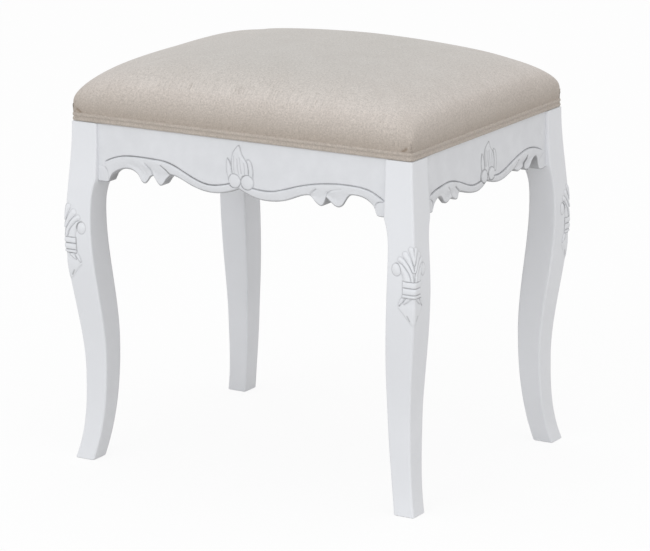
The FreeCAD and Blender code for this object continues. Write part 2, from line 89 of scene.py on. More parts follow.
# Lines of half an apron, drawn from its middle outwards. A knot of the lower edge or of the groove is
# (along, drop below the apron's top, slope), with a second slope where the line breaks. The cuts part the
# bead from the inner lobe, the inner lobe from the outer one and that one from the arch: (along, drop),
# from the lower edge up. The block is the reach and height of the end block. The shades are how dark the
# groove and the first two cuts are. The groove runs out at its end. The thickness is what is left at the
# lower edge and at the outer lobe, whose back is cut away.
ApronHalf = namedtuple("ApronHalf", "edge groove cuts block shades groove_end thickness")
LONG_LEFT = ApronHalf(
    edge=(
        (0.0, 54.0, 0.0, 0.45), (35.0, 62.1, 0.0), (62.0, 57.0, -0.36), (88.9, 48.3, 0.0, 0.9),
        (95.0, 54.4, 1.05), (99.2, 60.2, 1.1), (102.8, 62.0, 0.0), (106.2, 59.7, -1.1),
        (109.0, 56.0, -1.4), (112.0, 51.8, -0.8, 0.4), (116.5, 54.4, 1.1), (119.6, 58.6, 1.1),
        (123.4, 61.7, 0.0), (127.6, 59.4, -1.3), (131.4, 53.4, -1.2), (135.6, 50.1, -0.55),
        (145.5, 47.8, 0.0), (158.6, 51.2, 0.5), (165.6, 55.6, 0.9), (169.8, 62.4, 2.4),
        (172.6, 65.4, 0.0), (190.0, 65.6, 0.0),
    ),
    groove=(
        (0.0, 45.6, 0.0, 0.3), (37.0, 53.5, 0.0), (58.2, 48.7, -0.4), (78.2, 39.9, -0.44),
        (90.0, 35.4, -0.27), (111.9, 33.0, -0.03), (137.4, 32.8, 0.03), (159.8, 35.9, 0.3),
        (174.6, 42.2, 0.6), (190.0, 54.0, 0.9),
    ),
    cuts=(
        ((88.9, 48.5), (94.3, 43.4), (101.0, 39.1)),
        ((112.0, 51.8), (115.5, 45.1), (122.2, 38.6)),
        ((130.0, 57.0), (134.0, 51.5), (140.0, 47.0), (150.0, 40.5)),
    ),
    block=(13.6, 16.2),
    shades=(0.8, 1.0, 0.25),
    groove_end=175.0,
    thickness=(14.0, 2.5),
)
LONG_RIGHT = ApronHalf(
    edge=(
        (0.0, 54.0, 0.0, 0.5), (35.0, 63.2, 0.0), (62.0, 59.1, -0.33), (88.6, 50.7, 0.0, 0.6),
        (93.0, 53.6, 0.9), (97.5, 57.9, 0.75), (103.6, 60.8, 0.0), (107.0, 57.8, -1.9),
        (110.3, 49.6, -1.6, 1.05), (118.1, 56.9, 0.8), (124.6, 59.7, 0.0), (131.1, 56.1, -1.2),
        (133.8, 52.0, -1.6), (136.6, 47.9, -1.2), (146.0, 44.1, 0.0), (158.1, 46.1, 0.35),
        (167.5, 51.9, 0.85), (171.2, 58.2, 2.6), (174.5, 63.3, 0.2), (190.0, 63.3, 0.0),
    ),
    groove=(
        (0.0, 46.4, 0.0, 0.4), (33.0, 52.4, 0.0), (50.0, 50.2, -0.29), (66.3, 45.2, -0.34),
        (88.4, 39.2, -0.22), (114.7, 35.2, -0.09), (133.0, 34.2, 0.0), (153.8, 35.0, 0.12),
        (171.0, 39.9, 0.5), (190.0, 52.0, 0.75),
    ),
    cuts=(
        ((88.7, 50.7), (92.7, 46.4), (98.0, 42.3)),
        ((110.3, 49.6), (112.0, 45.3), (116.4, 42.5), (122.5, 40.3), (129.5, 39.1)),
        ((132.0, 56.0), (136.0, 49.0), (141.0, 45.0), (150.0, 40.5)),
    ),
    block=(14.0, 16.6),
    shades=(0.55, 0.5, 0.3),
    groove_end=188.0,
    thickness=(19.0, 2.5),
)
SHORT_LEFT = ApronHalf(
    edge=(
        (0.0, 52.6, 0.0, 0.75), (10.0, 58.3, 0.4), (22.8, 60.7, 0.0), (43.5, 57.9, -0.24),
        (61.4, 53.0, -0.15, 2.6), (63.6, 58.4, 1.5), (66.8, 60.5, 0.0), (72.0, 59.0, -0.5),
        (77.6, 55.8, -0.3, 0.4), (83.0, 58.0, 0.6), (89.0, 60.0, 0.0), (95.0, 57.6, -0.9),
        (99.0, 53.0, -1.1), (105.0, 50.0, 0.0), (113.2, 53.2, 0.85), (118.0, 59.6, 2.0),
        (121.0, 63.4, 0.0), (140.0, 63.5, 0.0),
    ),
    groove=(
        (0.0, 46.5, 0.0, 0.4), (27.0, 52.2, 0.0), (48.1, 47.3, -0.36), (61.8, 42.3, -0.32),
        (84.3, 37.8, 0.0), (106.6, 39.9, 0.14), (119.9, 42.6, 0.35), (140.0, 55.0, 0.9),
    ),
    cuts=(
        ((61.4, 53.2), (65.0, 49.6), (71.0, 45.2)),
        ((77.6, 55.8), (80.5, 50.0), (87.0, 43.0)),
        ((96.0, 57.0), (99.5, 52.0), (104.0, 48.6), (112.0, 45.0)),
    ),
    block=(15.4, 15.8),
    shades=(0.75, 0.85, 0.8),
    groove_end=124.0,
    thickness=(14.0, 4.0),
)
SHORT_RIGHT = ApronHalf(
    edge=(
        (0.0, 52.6, 0.0, 0.5), (14.0, 57.3, 0.2), (28.0, 59.1, 0.0), (42.0, 57.6, -0.22),
        (62.0, 52.4, -0.2, 0.6), (67.0, 55.2, 0.4), (72.5, 56.9, 0.0), (78.0, 55.8, -0.25),
        (83.0, 54.4, -0.25, 0.9), (88.0, 58.0, 0.5), (94.0, 59.1, 0.0), (98.4, 56.6, -1.1),
        (103.0, 51.2, -0.9), (110.0, 47.4, 0.0), (115.0, 50.0, 1.2), (118.0, 58.4, 3.0),
        (120.5, 63.4, 0.4), (140.0, 63.7, 0.0),
    ),
    groove=(
        (0.0, 46.5, 0.0, 0.4), (24.0, 51.0, 0.0), (44.8, 47.0, -0.32), (59.0, 42.3, -0.31),
        (82.8, 36.4, -0.18), (94.9, 35.2, 0.0), (111.9, 37.4, 0.28), (140.0, 51.0, 0.8),
    ),
    cuts=(
        ((62.0, 52.6), (65.5, 48.6), (71.0, 43.6)),
        ((83.0, 54.4), (85.5, 49.2), (91.5, 42.0)),
        ((98.0, 57.0), (102.0, 52.0), (107.0, 46.0), (114.0, 43.0)),
    ),
    block=(15.6, 16.0),
    shades=(0.6, 1.0, 1.0),
    groove_end=126.0,
    thickness=(19.0, 6.0),
)
# An apron has two halves, and a flame that is shifted along it, shortened over its fork and lifted by a
# share of its full height. Its lines are more or less dark and have a spread. A berry is (along, drop,
# half width, half height).
Apron = namedtuple("Apron", "halves shift shorten lift shade spread berries")
LONG_APRON = Apron(
    halves=(LONG_LEFT, LONG_RIGHT),
    shift=0.0,
    shorten=1.0,
    lift=1.0,
    shade=0.55,
    spread=0.55,
    berries=((-4.9, 45.0, 7.9, 8.0), (11.2, 45.3, 8.1, 8.3)),
)
SHORT_APRON = Apron(
    halves=(SHORT_LEFT, SHORT_RIGHT),
    shift=2.6,
    shorten=1.4,
    lift=0.4,
    shade=0.85,
    spread=0.8,
    berries=((-7.6, 46.6, 6.8, 7.6), (8.4, 46.2, 6.9, 7.5)),
)

# A tongue of the apron's flame: (drop below the apron's top, left edge, right edge), from its tip down.
FLAME = (
    (
        (5.4, 0.2, 1.0), (8.0, -2.6, 2.3), (10.5, -4.9, 2.8), (13.0, -6.6, 3.6), (15.5, -7.8, 4.6),
        (18.5, -8.5, 6.6), (21.3, -9.0, 9.0), (25.0, -9.3, 11.6), (30.0, -9.3, 12.6), (36.0, -8.2, 12.8),
        (46.0, -8.0, 12.5),
    ),
    (
        (19.8, 11.8, 12.6), (21.2, 10.0, 14.6), (22.6, 10.6, 16.0), (26.0, 11.8, 17.2),
        (33.0, 13.0, 18.5), (46.0, 12.6, 17.4),
    ),
    (
        (20.8, -14.6, -14.0), (24.0, -15.3, -11.5), (29.7, -16.0, -9.4), (35.3, -15.6, -8.4),
        (46.0, -13.0, -8.0),
    ),
)
FLAME_FORK, FLAME_FOOT = 21.0, 45.0
# Veins cut into the flame: (along, drop).
FLAME_VEINS = (
    ((-1.4, 20.5), (-1.1, 30.0), (0.8, 38.0)),
    ((1.6, 19.0), (2.6, 28.0), (4.0, 36.0)),
    ((-5.6, 17.5), (-6.0, 26.0), (-5.4, 36.0)),
    ((7.2, 24.0), (8.0, 30.0), (8.2, 36.5)),
)
# A fold at each corner of the linen: (distance from the corner, height over the welt, half width), and
# how far the finer grid round it reaches.
CORNER_TUCK = ((12.0, 0.0, 0.0), (7.2, 3.4, 0.0))
CORNER_TUCK_ZONE = 18.0
# Spread of the dark line round carved shapes, which is partly glaze and partly painted shade in the cut,
# and the easing of an apron's upper and lower edges.
LINE = 0.5
APRON_EASE = 0.8
APRON_ROUND = 1.4


def length(description, millimetres):
    """Property that holds a length."""
    return FloatProperty(description=description, default=millimetres * MM, unit="LENGTH", precision=4)


def number(description, default):
    """Property that holds a plain number."""
    return FloatProperty(description=description, default=default, precision=3)


def colour(description, default):
    """Property that holds a colour."""
    return FloatVectorProperty(description=description, default=default, subtype="COLOR", min=0, max=1)


class StoolLegs(bpy.types.PropertyGroup):
    """Sizes of the cabriole legs."""

    post: length("Width of the leg's straight top", 33.5)
    foot_swing: length("How far the foot stands out from the post", 3.3)
    foot_side: length("Width of the foot on the floor", 25.0)
    foot_outer_slope: number("Lean of the outer face at the floor", -0.29)
    foot_inner_slope: number("Lean of the inner face at the floor", -0.25)
    ankle_height: length("Height of the narrowest part", 99.9)
    ankle_swing: length("How far the ankle stands out from the post", -6.8)
    knee_height: length("Height of the widest part", 261.9)
    knee_swing: length("How far the knee stands out from the post", 7.2)
    calf_height: length("Height where the inner face lies furthest back", 134.8)
    calf_back: length("Inner face at the calf, behind the post's outer face", 35.8)
    hollow_height: length("Height of the hollow under the apron", 285.0)
    hollow_back: length("Inner face at the hollow, behind the post's outer face", 27.0)
    hollow_slope: number("Lean of the inner face where it reaches the apron", -0.45)
    edge_radius: length("Rounding of the long edges", 2.2)
    end_ease: length("Easing of the edges at the foot and the top", 0.9)
    carving_height: length("How far the knee's carving stands up", 1.6)
    # The grey in the knee's lines is partly glaze and partly painted shade in the cuts.
    line_glazing_and_painted_shade: number("Grey left in the lines of the knee's carving, from 0 to 1", 0.75)


class StoolAprons(bpy.types.PropertyGroup):
    """Sizes of the carved aprons. Drops are measured below the top of the wood."""

    thickness: length("Thickness of the board", 19.2)
    setback: length("Plain field behind the legs' faces", 3.2)
    end_block: length("Lower edge of the end blocks", 63.5)
    groove_depth: length("Depth of the cut over the bead", 1.2)
    bead_height: length("How far the bead stands up", 1.7)
    bead_roll: length("How far the bead falls back towards its lower edge", 1.6)
    rim_width: length("Width of the rim over the lobes", 5.3)
    scoop_depth: length("How far the lobes are hollowed under the rim", 0.5)
    flare: length("How far the tips of the lobes stand out again", 1.5)
    flute_depth: length("Hollow across each lobe", 0.7)
    lobe_lip: length("Raised edge where one lobe overlaps the other", 0.7)
    block_height: length("How far the end blocks stand up", 0.9)
    flame_height: length("How far the flame stands up", 1.9)
    berry_height: length("How far the berries stand up", 2.4)
    column: length("Spacing of the grid along an apron", 0.62)
    # An even grey over the whole apron, which leaves it a little darker than the legs.
    apron_grey: number("Grey rubbed over the whole apron, from 0 to 1", 0.12)
    # Painted shade along the lower edge, whose rounding faces down.
    foot_painted_shade: number("Grey left along the lower edge, from 0 to 1", 0.7)


class StoolSeat(bpy.types.PropertyGroup):
    """Sizes of the seat pad, its layers and its welt."""

    inset: length("Linen's side behind the legs' faces", 0.5)
    corner_radius: length("Plan radius of the pad's corners", 4.5)
    draw_in: length("How far the foot of the pad is drawn in", 0.8)
    side_height: length("Upright side under the crown", 18.8)
    crown: length("Height of the crown over the sides", 58.6)
    fullness_x: number("Exponent of the crown's shoulders on the left and right", 0.244)
    fullness_y: number("Exponent of the crown's shoulders at the front and back", 0.324)
    roundness_x: number("Exponent of the crown from left to right", 1.654)
    roundness_y: number("Exponent of the crown from front to back", 3.42)
    corner_fill: number("How far the corners are filled out, from 0 to 1", 0.04)
    linen: length("Thickness of the linen", 1.2)
    wadding: length("Thickness of the wadding", 6.0)
    clearance: length("Gap between the layers", 0.3)
    hem: length("Width of the linen turned under the board", 44.0)
    cell: length("Grid spacing of the linen", 5.0)
    pressure: number("Pressure of the filling in the cloth simulation", 4.0)
    give: length("Most that the simulation may move the linen", 1.0)
    tuck: length("How far the linen is drawn in over the welt", 0.5)
    fold: length("Depth of the short folds at the corners", 1.0)
    welt_height: length("Height of both beads of the welt", 10.0)
    welt_bulge: length("How far the beads stand out from the pad's foot", 1.2)


class StoolLooks(bpy.types.PropertyGroup):
    """Colours of the finishes, and of painted light and shade on the linen and in the carving."""

    paint: colour("White paint of the frame", (0.783, 0.793, 0.82))
    # Grey of the glaze and of the painted shade in the carving.
    glaze: colour("Grey that stays in the carving", (0.20, 0.20, 0.205))
    linen: colour("Ground colour of the linen on the sides", (0.465, 0.412, 0.364))
    # The slope and crest colours are painted light: lighter and greyer than the sides, as the top catches
    # light.
    linen_slope_painted_light: colour("Ground colour of the linen on the slope of the crown", (0.62, 0.568, 0.528))
    bleached: colour("Ground colour of the linen on top of the crown", (0.562, 0.535, 0.502))
    # Also the colour of the dirt and painted shade over the welt and in the corner folds.
    slub: colour("Dark flecks in the linen", (0.30, 0.24, 0.19))
    cambric: colour("Dust cover", (0.035, 0.034, 0.033))
    bare_wood: colour("Corner blocks and dowels", (0.60, 0.42, 0.25))
    plywood: colour("Seat board", (0.66, 0.50, 0.32))
    foam: colour("Filling of the seat", (0.85, 0.79, 0.55))
    wadding: colour("Layer over the foam", (0.88, 0.88, 0.87))
    steel: colour("Screws and staples", (0.62, 0.61, 0.58))


class StoolStage(bpy.types.PropertyGroup):
    """Camera, floor and lights."""

    azimuth: number("Camera's direction round the stool, in degrees", 31.423)
    elevation: number("Camera's height over the horizon, in degrees", 14.406)
    roll: number("Camera's roll, in degrees", -0.388)
    distance: length("From the camera to the target", 4008.4)
    target: FloatVectorProperty(
        description="Point in the middle of the picture", default=(0.0, 0.0, 0.195), unit="LENGTH"
    )
    shift_right: length("Camera's move to its right", 6.14)
    shift_up: length("Camera's move upwards", 7.74)
    lens: number("Focal length in millimetres", 196.54)
    ambient: number("Strength of the sky", 0.86)
    key: number("Power of the key light in watts", 14.0)
    front: number("Power of the low front light in watts", 16.0)
    fill: number("Power of the fill light in watts", 6.5)
    floor: number("Share of the light that the floor throws back", 0.66)


GROUPS = {
    "stool_legs": StoolLegs,
    "stool_aprons": StoolAprons,
    "stool_seat": StoolSeat,
    "stool_looks": StoolLooks,
    "stool_stage": StoolStage,
}


# Curves and reliefs


def smooth_rise(value, low, high):
    """0 up to low, 1 from high on, with a smooth rise between."""
    share = np.clip((value - low) / (high - low), 0.0, 1.0)
    return share * share * (3.0 - 2.0 * share)


def quarter_round(depth, width):
    """Rise from 0 to 1 with a rounded shoulder while depth goes from 0 to width."""
    share = np.clip(depth / width, 0.0, 1.0)
    return np.sqrt(1.0 - (1.0 - share) ** 2)


def half_round(depth, half):
    """Rise from 0 at the edge of a shape to 1 at its middle, half its width in."""
    share = np.clip(depth / half, 0.0, 1.0)
    return share * (2.0 - share)


def line_at(distance, spread):
    """1 on a line, fading away from it over its spread."""
    return np.exp(-((distance / spread) ** 2))


def curve_through(knots, where):
    """Smooth curve read at each place. A knot is (place, height, slope), with a slope more after a break."""
    heights = np.zeros_like(where)
    for (low, start, *lean), (high, end, arrive, *_) in zip(knots, knots[1:]):
        run, leave = high - low, lean[-1]
        t = np.clip((where - low) / run, 0.0, 1.0)
        level = start * (1 + 2 * t) * (1 - t) ** 2 + end * t * t * (3 - 2 * t)
        lean = run * t * (1 - t) * (leave * (1 - t) - arrive * t)
        heights = np.where((where >= low) & (where <= high), level + lean, heights)
    return heights


def softened(field, rounds):
    """A field of values averaged with its neighbours a number of times."""
    for _ in range(rounds):
        for axis in (0, 1):
            edged = np.concatenate([field.take([0], axis), field, field.take([-1], axis)], axis)
            count = field.shape[axis]
            before = edged.take(range(count), axis)
            after = edged.take(range(2, count + 2), axis)
            field = (before + 2 * field + after) / 4
    return field


def hollows(relief, depth):
    """How deep each point lies under its surroundings, from 0 to 1 at depth."""
    return np.clip((softened(relief, 8) - relief) / depth, 0.0, 1.0)


def carve(relief, lines, depth, raised, plain=1.0, shade=1.0, spread=LINE):
    """Lay a raised shape over the carving so far, with a line of this shade where the depth inside it is 0.
    On plain ground the line is only a share as dark."""
    shade = shade * (plain + (1.0 - plain) * smooth_rise(relief, 0.05, 0.4))
    lines = np.maximum(np.where(depth > 0, 0.0, lines), shade * line_at(depth, spread))
    return np.where(depth > 0, raised, relief), lines


def strand_depth(strand, across, up):
    """How deep each point lies inside a tapering strand, and the strand's half width there."""
    deepest = np.full(np.broadcast(across, up).shape, -1e3)
    half_width = np.ones_like(deepest)
    for (x0, z0, r0), (x1, z1, r1) in zip(strand, strand[1:]):
        run_x, run_z = x1 - x0, z1 - z0
        share = ((across - x0) * run_x + (up - z0) * run_z) / (run_x**2 + run_z**2)
        share = np.clip(share, 0.0, 1.0)
        radius = r0 + share * (r1 - r0)
        depth = radius - np.hypot(across - x0 - share * run_x, up - z0 - share * run_z)
        half_width = np.where(depth > deepest, radius, half_width)
        deepest = np.maximum(depth, deepest)
    return deepest, half_width


# Meshes and pieces


def shaped_grid(x, y, z, glaze=0.0):
    """Grid whose points go to the places in x, y and z, by column and row, with a glaze value at each."""
    *places, glaze = np.broadcast_arrays(x, y, z, glaze)
    places = np.stack(places, axis=2)
    columns, rows = glaze.shape
    grid = bmesh.new()
    bmesh.ops.create_grid(grid, x_segments=columns - 1, y_segments=rows - 1, size=1.0)
    shade = grid.verts.layers.float.new("glaze")
    for vert in grid.verts:
        column = round((vert.co.x + 1) / 2 * (columns - 1))
        row = round((vert.co.y + 1) / 2 * (rows - 1))
        vert.co = places[column, row]
        vert[shade] = glaze[column, row]
    return grid


def close_up(mesh):
    """Join the seams of a wrapped grid and close what is still open."""
    bmesh.ops.remove_doubles(mesh, verts=mesh.verts, dist=0.002 * MM)
    bmesh.ops.holes_fill(mesh, edges=[edge for edge in mesh.edges if edge.is_boundary])
    bmesh.ops.recalc_face_normals(mesh, faces=mesh.faces)


def add_piece(mesh, name, look, nodes, crease=35.0):
    """Object made of a mesh, in the place of CAD nodes."""
    data = bpy.data.meshes.new(name)
    mesh.to_mesh(data)
    mesh.free()
    data.shade_smooth()
    data.set_sharp_from_angle(angle=math.radians(crease))
    data.materials.append(look)
    piece = bpy.data.objects.new(name, data)
    bpy.context.collection.objects.link(piece)
    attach(piece, "root")
    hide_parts(*nodes)
    return piece


# Materials

# Heights over the wood between which the linen's colour goes from its sides to its slope, and on to its
# crest. The lighter, greyer slope and crest are painted light, for the light and sheen that the top of the
# crown catches.
LINEN_LEVELS = ((16.0, 50.0), (44.0, 76.0))


class Nodes:
    """Shader nodes of a material or a sky."""

    def __init__(self, owner):
        owner.use_nodes = True
        self.tree = owner.node_tree

    def node(self, kind, inputs=(), **settings):
        """New node with its settings and with values or links on its inputs."""
        node = self.tree.nodes.new(kind)
        for key, value in settings.items():
            setattr(node, key, value)
        for socket, value in dict(inputs).items():
            self.feed(node.inputs[socket], value)
        return node

    def feed(self, socket, value):
        """Link an output to a socket, or set the socket's value, a colour as opaque."""
        if isinstance(value, bpy.types.NodeSocket):
            self.tree.links.new(value, socket)
        else:
            socket.default_value = (*value, 1.0) if socket.type == "RGBA" else value

    def mix(self, share, low, high, blend="MIX"):
        """Colour between two, by a share."""
        inputs = {0: share, 6: low, 7: high}
        return self.node("ShaderNodeMix", inputs, data_type="RGBA", blend_type=blend).outputs[2]

    def ramp(self, value, low, high, start=0.0, end=1.0):
        """Value moved from the range low to high into the range start to end, and kept there."""
        inputs = {0: value, 1: low, 2: high, 3: start, 4: end}
        return self.node("ShaderNodeMapRange", inputs, clamp=True).outputs[0]

    def maths(self, operation, first, second, third=0.0):
        """Result of a sum on two or three values."""
        inputs = {0: first, 1: second, 2: third}
        return self.node("ShaderNodeMath", inputs, operation=operation).outputs[0]

    def noise(self, vector, scale, detail=2.0, roughness=0.5):
        """Noise read at a vector."""
        inputs = {"Vector": vector, "Scale": scale, "Detail": detail, "Roughness": roughness}
        return self.node("ShaderNodeTexNoise", inputs).outputs["Fac"]

    def stretched(self, vector, scale):
        """Vector scaled along each axis."""
        return self.node("ShaderNodeMapping", {"Vector": vector, "Scale": scale}).outputs[0]

    def place(self):
        """The object's own coordinates."""
        return self.node("ShaderNodeTexCoord").outputs["Object"]

    def value_of(self, attribute):
        """Value that the mesh carries at each point."""
        return self.node("ShaderNodeAttribute", attribute_name=attribute).outputs["Fac"]

    def bump(self, height, strength, distance):
        """Normal disturbed by a height."""
        inputs = {"Height": height, "Strength": strength, "Distance": distance}
        return self.node("ShaderNodeBump", inputs).outputs[0]

    def seen(self):
        """1 on the rays that see the background, also in a mirror or through glass, and 0 on the others."""
        rays = self.node("ShaderNodeLightPath").outputs
        mirrored = self.maths("MAXIMUM", rays["Is Glossy Ray"], rays["Is Transmission Ray"])
        return self.maths("MAXIMUM", rays["Is Camera Ray"], mirrored)


class Look(Nodes):
    """A material under construction."""

    def __init__(self, name):
        self.material = bpy.data.materials.new("stool_" + name)
        super().__init__(self.material)
        self.shader = self.tree.nodes["Principled BSDF"]

    def set(self, **inputs):
        """Set inputs of the shader, with underscores for spaces."""
        for key, value in inputs.items():
            self.feed(self.shader.inputs[key.replace("_", " ")], value)


def paint_look():
    """Brushed white paint, with grey in the carving that is partly glaze and partly painted shade."""
    colours = bpy.context.scene.stool_looks
    look = Look("painted_wood")
    place = look.place()
    patches = look.noise(place, 60.0, 4.0)
    # Grey in the carving, partly glaze and partly painted shade, made a little uneven in patches.
    glazing_and_shade_share = look.maths("MULTIPLY", look.value_of("glaze"), look.ramp(patches, 0.25, 0.6, 0.55, 1.0))
    clouds = look.ramp(look.noise(place, 9.0, 3.0), 0.3, 0.7, 0.0, 0.05)
    ground = look.mix(clouds, colours.paint, colours.glaze)
    look.set(Base_Color=look.mix(glazing_and_shade_share, ground, colours.glaze))
    look.set(Roughness=look.ramp(patches, 0.3, 0.7, 0.42, 0.58))
    strokes = look.noise(look.stretched(place, (30.0, 30.0, 4.0)), 22.0, 3.0)
    look.set(Normal=look.bump(strokes, 0.12, 0.4 * MM), Specular_IOR_Level=0.35)
    return look.material


def linen_look():
    """Plain-woven linen on the weave map: slubs, flecks, dirt, painted light and painted shade."""
    colours = bpy.context.scene.stool_looks
    look = Look("linen")
    weave = look.node("ShaderNodeUVMap", uv_map="weave").outputs[0]
    warp = look.noise(look.stretched(weave, (260.0, 760.0, 1.0)), 1.0, 4.0, 0.62)
    weft = look.noise(look.stretched(weave, (760.0, 280.0, 1.0)), 1.0, 4.0, 0.62)
    fuzz = look.noise(look.place(), 620.0, 3.0, 0.6)
    threads = 0.0
    for part, weight in ((warp, 0.27), (weft, 0.21), (fuzz, 0.52)):
        threads = look.maths("MULTIPLY_ADD", part, weight, threads)
    height = look.node("ShaderNodeSeparateXYZ", {0: look.place()}).outputs["Z"]
    over_wood = look.maths("SUBTRACT", height, FRAME_TOP)
    slope, crest = (look.ramp(over_wood, low * MM, high * MM) for low, high in LINEN_LEVELS)
    # Painted light: the slope and crest are lighter and greyer than the sides.
    ground = look.mix(slope, colours.linen, colours.linen_slope_painted_light)
    ground = look.mix(crest, ground, colours.bleached)
    tone = look.mix(1.0, ground, look.ramp(threads, 0.36, 0.64, 0.8, 1.2), "MULTIPLY")
    flecks = look.noise(look.stretched(weave, (620.0, 900.0, 1.0)), 1.0, 2.0)
    clouds = look.noise(weave, 24.0, 3.0)
    # The last share is dirt and painted shade over the welt and in the corner folds.
    stains_and_painted_shade = (
        look.ramp(flecks, 0.62, 0.7, 0.0, 0.42),
        look.ramp(clouds, 0.35, 0.65, 0.0, 0.08),
        look.maths("MULTIPLY", look.value_of("soil"), 0.9),
    )
    for share in stains_and_painted_shade:
        tone = look.mix(share, tone, colours.slub)
    look.set(Base_Color=tone, Roughness=0.9, Specular_IOR_Level=0.15)
    look.set(Sheen_Weight=0.25, Sheen_Roughness=0.5, Normal=look.bump(threads, 0.4, 0.5 * MM))
    return look.material


def grain_look(name, ground, across):
    """Bare wood with grain along one axis, given by how fast it changes along each."""
    look = Look(name)
    place = look.stretched(look.place(), across)
    rings = look.noise(place, 1.0, 6.0, 0.62)
    dark = [value * 0.55 for value in ground]
    look.set(Base_Color=look.mix(look.ramp(rings, 0.35, 0.72), ground, dark))
    look.set(Roughness=0.62, Normal=look.bump(rings, 0.2, 0.4 * MM))
    return look.material


def plywood_look():
    """Plywood with its layers showing on the edge."""
    ground = bpy.context.scene.stool_looks.plywood
    look = Look("plywood")
    place = look.place()
    inputs = {"Vector": place, "Scale": 130.0, "Distortion": 0.4}
    layers = look.node("ShaderNodeTexWave", inputs, bands_direction="Z")
    grain = look.noise(look.stretched(place, (12.0, 260.0, 12.0)), 1.0, 5.0)
    dark = [value * 0.6 for value in ground]
    side = look.node("ShaderNodeNewGeometry").outputs["Normal"]
    level = look.node("ShaderNodeSeparateXYZ", {0: side}).outputs["Z"]
    edge = look.ramp(look.maths("ABSOLUTE", level, 0.0), 0.3, 0.6)
    share = look.mix(edge, layers.outputs["Color"], grain)
    look.set(Base_Color=look.mix(look.ramp(share, 0.3, 0.7), ground, dark), Roughness=0.65)
    return look.material


def steel_look(name):
    """Plated steel, a little dull."""
    look = Look(name)
    scuffs = look.noise(look.place(), 900.0, 3.0)
    look.set(Base_Color=bpy.context.scene.stool_looks.steel, Metallic=1.0)
    look.set(Roughness=look.ramp(scuffs, 0.3, 0.7, 0.28, 0.46))
    return look.material


def soft_look(name, ground, scale):
    """Soft filling with small cells or fibres."""
    look = Look(name)
    cells = look.noise(look.place(), scale, 4.0)
    look.set(Base_Color=look.mix(look.ramp(cells, 0.3, 0.7, 0.0, 0.25), ground, (0.2, 0.18, 0.12)))
    look.set(Roughness=0.95, Specular_IOR_Level=0.1, Normal=look.bump(cells, 0.4, 1.0 * MM))
    return look.material


def shared_look(name, make, *details):
    """A material by name, made the first time that it is asked for."""
    return bpy.data.materials.get("stool_" + name) or make(*details)


# Legs

# Heights over the knee between which a leg's grid is fine, its rows below, on and above that zone, and
# its columns on a carved face, on a plain face and on a long edge.
KNEE_ZONE = (-60.0, 40.0)
LEG_ROWS = (60, 190, 30)
LEG_COLUMNS = (60, 6, 6)
# Distance from a leg's outer corner that stands for faces without carving.
FAR = 1.0


def leg_faces(sizes, heights):
    """Outer and inner face of the leg at each height, measured out from the post's outer face."""
    apron_bottom = FRAME_TOP - bpy.context.scene.stool_aprons.end_block
    outer = (
        (0.0, sizes.foot_swing, sizes.foot_outer_slope),
        (sizes.ankle_height, sizes.ankle_swing, 0.0),
        (sizes.knee_height, sizes.knee_swing, 0.0),
        (FRAME_TOP, 0.0, 0.0),
    )
    inner = (
        (0.0, sizes.foot_swing - sizes.foot_side, sizes.foot_inner_slope),
        (sizes.calf_height, -sizes.calf_back, 0.0),
        (sizes.hollow_height, -sizes.hollow_back, 0.0),
        (apron_bottom, -sizes.post, sizes.hollow_slope, 0.0),
        (FRAME_TOP, -sizes.post, 0.0),
    )
    return curve_through(outer, heights), curve_through(inner, heights)


def knee_relief(across, up):
    """Carving of the knee by distance from the leg's corner and height over the knee, and its lines."""
    low, high, reach = KNEE_POINT
    edge = reach * np.clip((up - low) / (high - low), 0.0, 1.0)
    leaf = smooth_rise(edge - across, -0.6, 1.6) * smooth_rise(up, low, low + 6.0)
    relief = 0.5 * leaf * smooth_rise(-up, -high - 8.0, -high + 2.0)
    lines = np.zeros_like(across)
    for strand in KNEE_STRANDS:
        depth, half = strand_depth(strand, across, up)
        relief, lines = carve(relief, lines, depth, half_round(depth, half), 0.3)
    for centre, half in KNEE_BANDS:
        depth = np.minimum(half - np.abs(up - centre), KNEE_BAND_REACH - across)
        relief, lines = carve(relief, lines, depth, 0.95 * quarter_round(depth, half))
    x, z, half_x, half_z = KNEE_VOLUTE
    depth = (1.0 - np.hypot((across - x) / half_x, (up - z) / half_z)) * half_x
    relief, lines = carve(relief, lines, depth, half_round(depth, half_x), 0.55)
    lines = np.maximum(lines, 0.8 * line_at(strand_depth(KNEE_SLIT, across, up)[0], 0.8))
    return relief - 0.25 * lines, lines


def leg_outline(outer, inner, radius):
    """Places round the leg at one height: (x, y, normal in x, normal in y, distance from its outer edge)."""
    fine, plain, turns = LEG_COLUMNS
    low, high = inner + radius, outer - radius
    span, eighth = high - low, math.radians(45.0)
    corners = ((low, low, 0, -1), (high, low, 1, 0), (high, high, 0, 1), (low, high, -1, 0))
    points = []
    for index, (x, y, way_x, way_y) in enumerate(corners):
        for i in range(turns + 1):
            turned = math.radians(90.0 * i / turns)
            angle = math.pi + index * math.pi / 2 + turned
            way = (math.cos(angle), math.sin(angle))
            away = radius * abs(eighth - turned) if index == 2 else FAR
            points.append((x + radius * way[0], y + radius * way[1], *way, away))
        count = fine if index in (1, 2) else plain
        for i in range(1, count):
            run = span * i / count
            away = {1: span - run + radius * eighth, 2: run + radius * eighth}.get(index, FAR)
            place = (x + radius * way_x - run * way_y, y + radius * way_y + run * way_x)
            points.append((*place, way_x, way_y, away))
    return points + points[:1]


